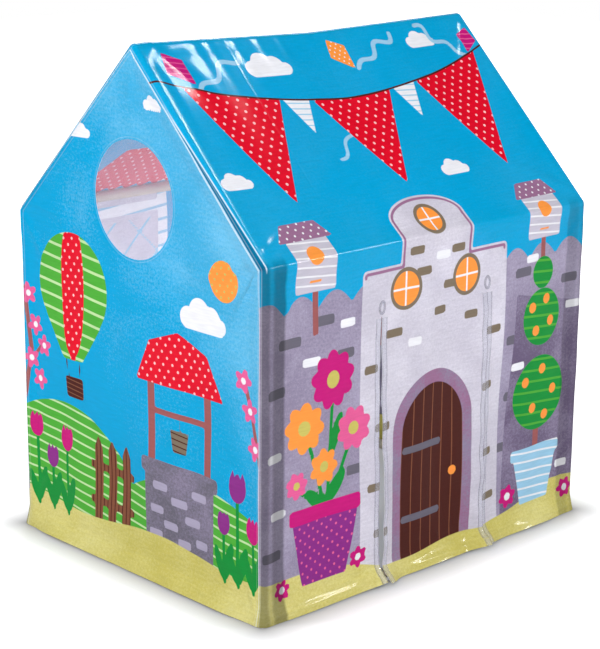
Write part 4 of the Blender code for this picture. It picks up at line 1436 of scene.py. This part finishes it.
class PLAYTENT_OT_tubes(bpy.types.Operator):
    """Plastic tubes of the frame"""

    bl_idname = "playtent.tubes"
    bl_label = "Tubes"

    def execute(self, context):
        settings = context.scene.play_tent_frame
        material = shared(moulded_plastic, "frame_tube_plastic", tuple(settings.tube_colour), TUBE_ROUGHNESS)
        for node in TUBES:
            low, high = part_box(node)
            size = high - low
            way = self.direction(node, size)
            across = [2 * TUBE_RADIUS * math.sqrt(max(0.0, 1 - share**2)) for share in way]
            half = max((size[k] - across[k]) / abs(way[k]) for k in range(3) if abs(way[k]) > 0.1) / 2
            bm = spun(self.profile(settings, half), settings.tube_sides, closed=True)
            place = Matrix.Translation((low + high) / 2) @ way.to_track_quat("Z", "Y").to_matrix().to_4x4()
            bmesh.ops.transform(bm, matrix=place, verts=bm.verts)
            lower_ridge(bm, node)
            entered(finished(bm, "tube_" + node, material), node)
        return {"FINISHED"}

    def direction(self, node, size):
        if node.startswith("rafter"):
            return Vector((0, math.cos(PITCH) * (1 if "front" in node else -1), math.sin(PITCH)))
        longest = max(range(3), key=lambda k: size[k])
        return Vector([float(k == longest) for k in range(3)])

    def profile(self, settings, half):
        """Half a cut through a tube, with its two ends rounded."""
        inner, rounding = TUBE_RADIUS - settings.tube_wall, settings.tube_rounding
        upper = [
            (inner, half - rounding), (inner + rounding, half),
            (TUBE_RADIUS - rounding, half), (TUBE_RADIUS, half - rounding),
        ]
        return [(r, -z) for r, z in upper] + upper[::-1]


class PLAYTENT_OT_joints(bpy.types.Operator):
    """Moulded corners and couplers that hold the tubes together"""

    bl_idname = "playtent.joints"
    bl_label = "Corners and Couplers"

    def execute(self, context):
        colour = tuple(context.scene.play_tent_frame.joint_colour)
        material = shared(moulded_plastic, "frame_joint_plastic", colour, JOINT_ROUGHNESS)
        for node, solid in sorted(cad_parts.items()):
            if "corner" in node or "coupler" in node:
                entered(finished(self.shape(node, solid), "moulded_" + node, material), node)
        return {"FINISHED"}

    def shape(self, node, solid):
        """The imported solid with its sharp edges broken."""
        bm = bmesh.new()
        bm.from_mesh(solid.data)
        bmesh.ops.transform(bm, matrix=solid.matrix_world, verts=bm.verts)
        bmesh.ops.remove_doubles(bm, verts=bm.verts, dist=SAME_PLACE)
        bmesh.ops.dissolve_limit(bm, angle_limit=FLAT_TURN, verts=bm.verts, edges=bm.edges)
        sharp = [edge for edge in bm.edges if edge.is_manifold and edge.calc_face_angle(0) > SHARP_TURN]
        sharp = [edge for edge in sharp if edge.calc_length() > SHORTEST_SHARP]
        bmesh.ops.bevel(
            bm, geom=sharp, offset=JOINT_BEVEL, offset_type="OFFSET", affect="EDGES", segments=2, profile=0.5,
            material=-1, clamp_overlap=True,
        )
        lower_ridge(bm, node)
        return bm


# Each lamp's place, aim, width and height in metres, power in watts, and the rays that don't see it
LAMPS = {
    "key_light": ((-2.9, -3.1, 2.4), (0.0, 0.0, 0.5), (1.9, 1.9), 132.0, ()),
    "front_light": ((2.3, -2.9, 1.6), (0.0, -0.4, 0.2), (0.5, 0.5), 42.0, ()),
    "gable_light": ((-3.0, 1.3, 2.2), (-0.5, 0.0, 0.4), (0.7, 0.7), 44.0, ()),
    "back_light": ((2.7, 3.0, 2.6), (0.0, 0.0, 0.5), (1.6, 1.6), 76.0, ()),
    "roof_light": ((1.87, -1.03, 3.96), (-0.2, -0.08, 1.0), (1.2, 0.36), 84.0, ("diffuse",)),
    "inner_light": ((-0.12, -0.20, 0.30), (0.12, 0.37, 0.62), (0.3, 0.3), 4.0, ("camera", "glossy", "transmission")),
}
FLOOR_HALF = 9.0
# How much of the floor's lift its mirror image in the film shows
FLOOR_MIRRORED = 0.35
WORLD_LIGHT = 0.55


class PLAYTENT_OT_stage(bpy.types.Operator):
    """Floor, soft light and the camera at the photograph's angle"""

    bl_idname = "playtent.stage"
    bl_label = "Stage"

    def execute(self, context):
        settings = context.scene.play_tent_stage
        self.camera(context, settings)
        self.floor(tuple(settings.floor_colour))
        self.world(context)
        for name, lamp in LAMPS.items():
            self.lamp(context, name, *lamp)
        context.scene.view_settings.view_transform = "Standard"
        return {"FINISHED"}

    def camera(self, context, settings):
        azimuth, elevation, roll = settings.azimuth, settings.elevation, settings.roll
        level = math.cos(elevation)
        back = Vector((math.sin(azimuth) * level, -math.cos(azimuth) * level, math.sin(elevation)))
        right = Vector((0, 0, 1)).cross(back).normalized()
        up = back.cross(right)
        rolled_right = math.cos(roll) * right + math.sin(roll) * up
        rolled_up = -math.sin(roll) * right + math.cos(roll) * up
        data = bpy.data.cameras.new("photo_camera")
        data.sensor_width = 36.0
        data.lens = settings.focal_pixels * data.sensor_width / PHOTO_HEIGHT
        data.clip_end = 100.0
        camera = bpy.data.objects.new("photo_camera", data)
        context.scene.collection.objects.link(camera)
        place = Matrix((rolled_right, rolled_up, back)).transposed().to_4x4()
        place.translation = Vector(settings.aim) + back * settings.distance
        camera.matrix_world = place
        context.scene.camera = camera

    def floor(self, own):
        """The floor, with a painted shadow that turns it darker under the tent's edge and inside it, and lighter away
        from it.
        """
        bm = bmesh.new()
        bmesh.ops.create_grid(bm, x_segments=8, y_segments=8, size=FLOOR_HALF)
        graph = Graph(bpy.data.materials.new("pale_floor"))
        where = graph.own_place()
        tone = graph.fit(graph.noise(where, 1.4, 3.0), 0.3, 0.7)
        beyond = graph.vector("SUBTRACT", graph.vector("ABSOLUTE", where), (GABLE_X, POST_Y + FOLD, 1.0))
        away = graph.vector("LENGTH", graph.vector("MAXIMUM", beyond, (0.0, 0.0, 0.0)))
        colour = graph.mix(tone, tuple(c * 0.985 for c in own), own)
        # Painted shadow: the floor's colour darkens to about a third at the tent's edge and clears within 9 cm
        past_painted_shadow = graph.math("POWER", graph.fit(away, 0.0, 0.09), 0.70)
        shade = graph.node("BsdfDiffuse", {"Color": graph.mix(past_painted_shadow, tuple(c * 0.36 for c in own), colour)})[0]
        # Painted shadow in the lift too: it is low at the tent's edge and inside the tent, and rises away from it to
        # keep the far floor white
        lift = graph.times(graph.math("POWER", graph.fit(away, 0.0, 0.11), 0.70), 0.50)
        for reach in ((0.004, 0.0, 0.0, 0.26), (0.2, 2.2, 0.0, 0.36)):
            lift = graph.math("ADD", lift, graph.fit(away, *reach))
        lift = graph.node("Emission", {"Color": WHITE, "Strength": lift})[0]
        lifted = graph.node("AddShader", {0: shade, 1: lift})[0]
        camera, glossy, through = graph.rays()
        seen = graph.math("MAXIMUM", camera, graph.math("MAXIMUM", graph.times(glossy, FLOOR_MIRRORED), through))
        finished(bm, "floor", graph.show(graph.node("MixShader", {0: seen, 1: shade, 2: lifted})[0]))

    def world(self, context):
        """White for the camera, and for the film a backdrop that darkens upwards."""
        graph = Graph(bpy.data.worlds.new("studio"), "ShaderNodeOutputWorld")
        camera, glossy, through = graph.rays()
        height = graph.split(graph.node("TexCoord")["Generated"])[2]
        backdrop = graph.math("MAXIMUM", graph.fit(height, 0.10, 0.50, 1.0, 0.12), camera)
        seen = graph.math("MAXIMUM", graph.math("MAXIMUM", camera, glossy), through)
        strength = graph.fit(seen, 0.0, 1.0, WORLD_LIGHT, backdrop)
        context.scene.world = graph.show(graph.node("Background", {"Color": WHITE, "Strength": strength})[0])

    def lamp(self, context, name, place, aim, size, power, unseen):
        data = bpy.data.lights.new(name, "AREA")
        data.shape = "RECTANGLE"
        data.size, data.size_y = size
        data.energy = power
        lamp = bpy.data.objects.new(name, data)
        context.scene.collection.objects.link(lamp)
        lamp.location = place
        lamp.rotation_euler = (Vector(aim) - Vector(place)).to_track_quat("-Z", "Y").to_euler()
        for ray in unseen:
            setattr(lamp, "visible_" + ray, False)


BUILD_ORDER = (
    PLAYTENT_OT_stage, PLAYTENT_OT_front_sheet, PLAYTENT_OT_back_sheet, PLAYTENT_OT_gable_sheets,
    PLAYTENT_OT_window_panes, PLAYTENT_OT_slit_strips, PLAYTENT_OT_slit_rings, PLAYTENT_OT_tubes, PLAYTENT_OT_joints,
    PLAYTENT_OT_door_flap,
)
GROUPS = {
    "play_tent_film": PlayTentFilm, "play_tent_print": PlayTentPrint, "play_tent_frame": PlayTentFrame,
    "play_tent_stage": PlayTentStage,
}


class PLAYTENT_PT_panel(bpy.types.Panel):
    """Lists the pieces of the tent and their settings"""

    bl_idname = "PLAYTENT_PT_panel"
    bl_label = "Play Tent"
    bl_space_type = "VIEW_3D"
    bl_region_type = "UI"
    bl_category = "Play Tent"

    def draw(self, context):
        layout = self.layout
        for operator in BUILD_ORDER:
            layout.operator(operator.bl_idname)
        for group in GROUPS:
            settings = getattr(context.scene, group)
            box = layout.box()
            for key in settings.bl_rna.properties.keys():
                if key not in ("rna_type", "name"):
                    box.prop(settings, key)


CLASSES = (*GROUPS.values(), *BUILD_ORDER, PLAYTENT_PT_panel)


def register():
    for kind in CLASSES:
        bpy.utils.register_class(kind)
    for name, group in GROUPS.items():
        setattr(bpy.types.Scene, name, bpy.props.PointerProperty(type=group))


def unregister():
    for name in GROUPS:
        delattr(bpy.types.Scene, name)
    for kind in reversed(CLASSES):
        bpy.utils.unregister_class(kind)


def main():
    register()
    for operator in BUILD_ORDER:
        family, name = operator.bl_idname.split(".")
        getattr(getattr(bpy.ops, family), name)()


if __name__ == "__main__":
    main()
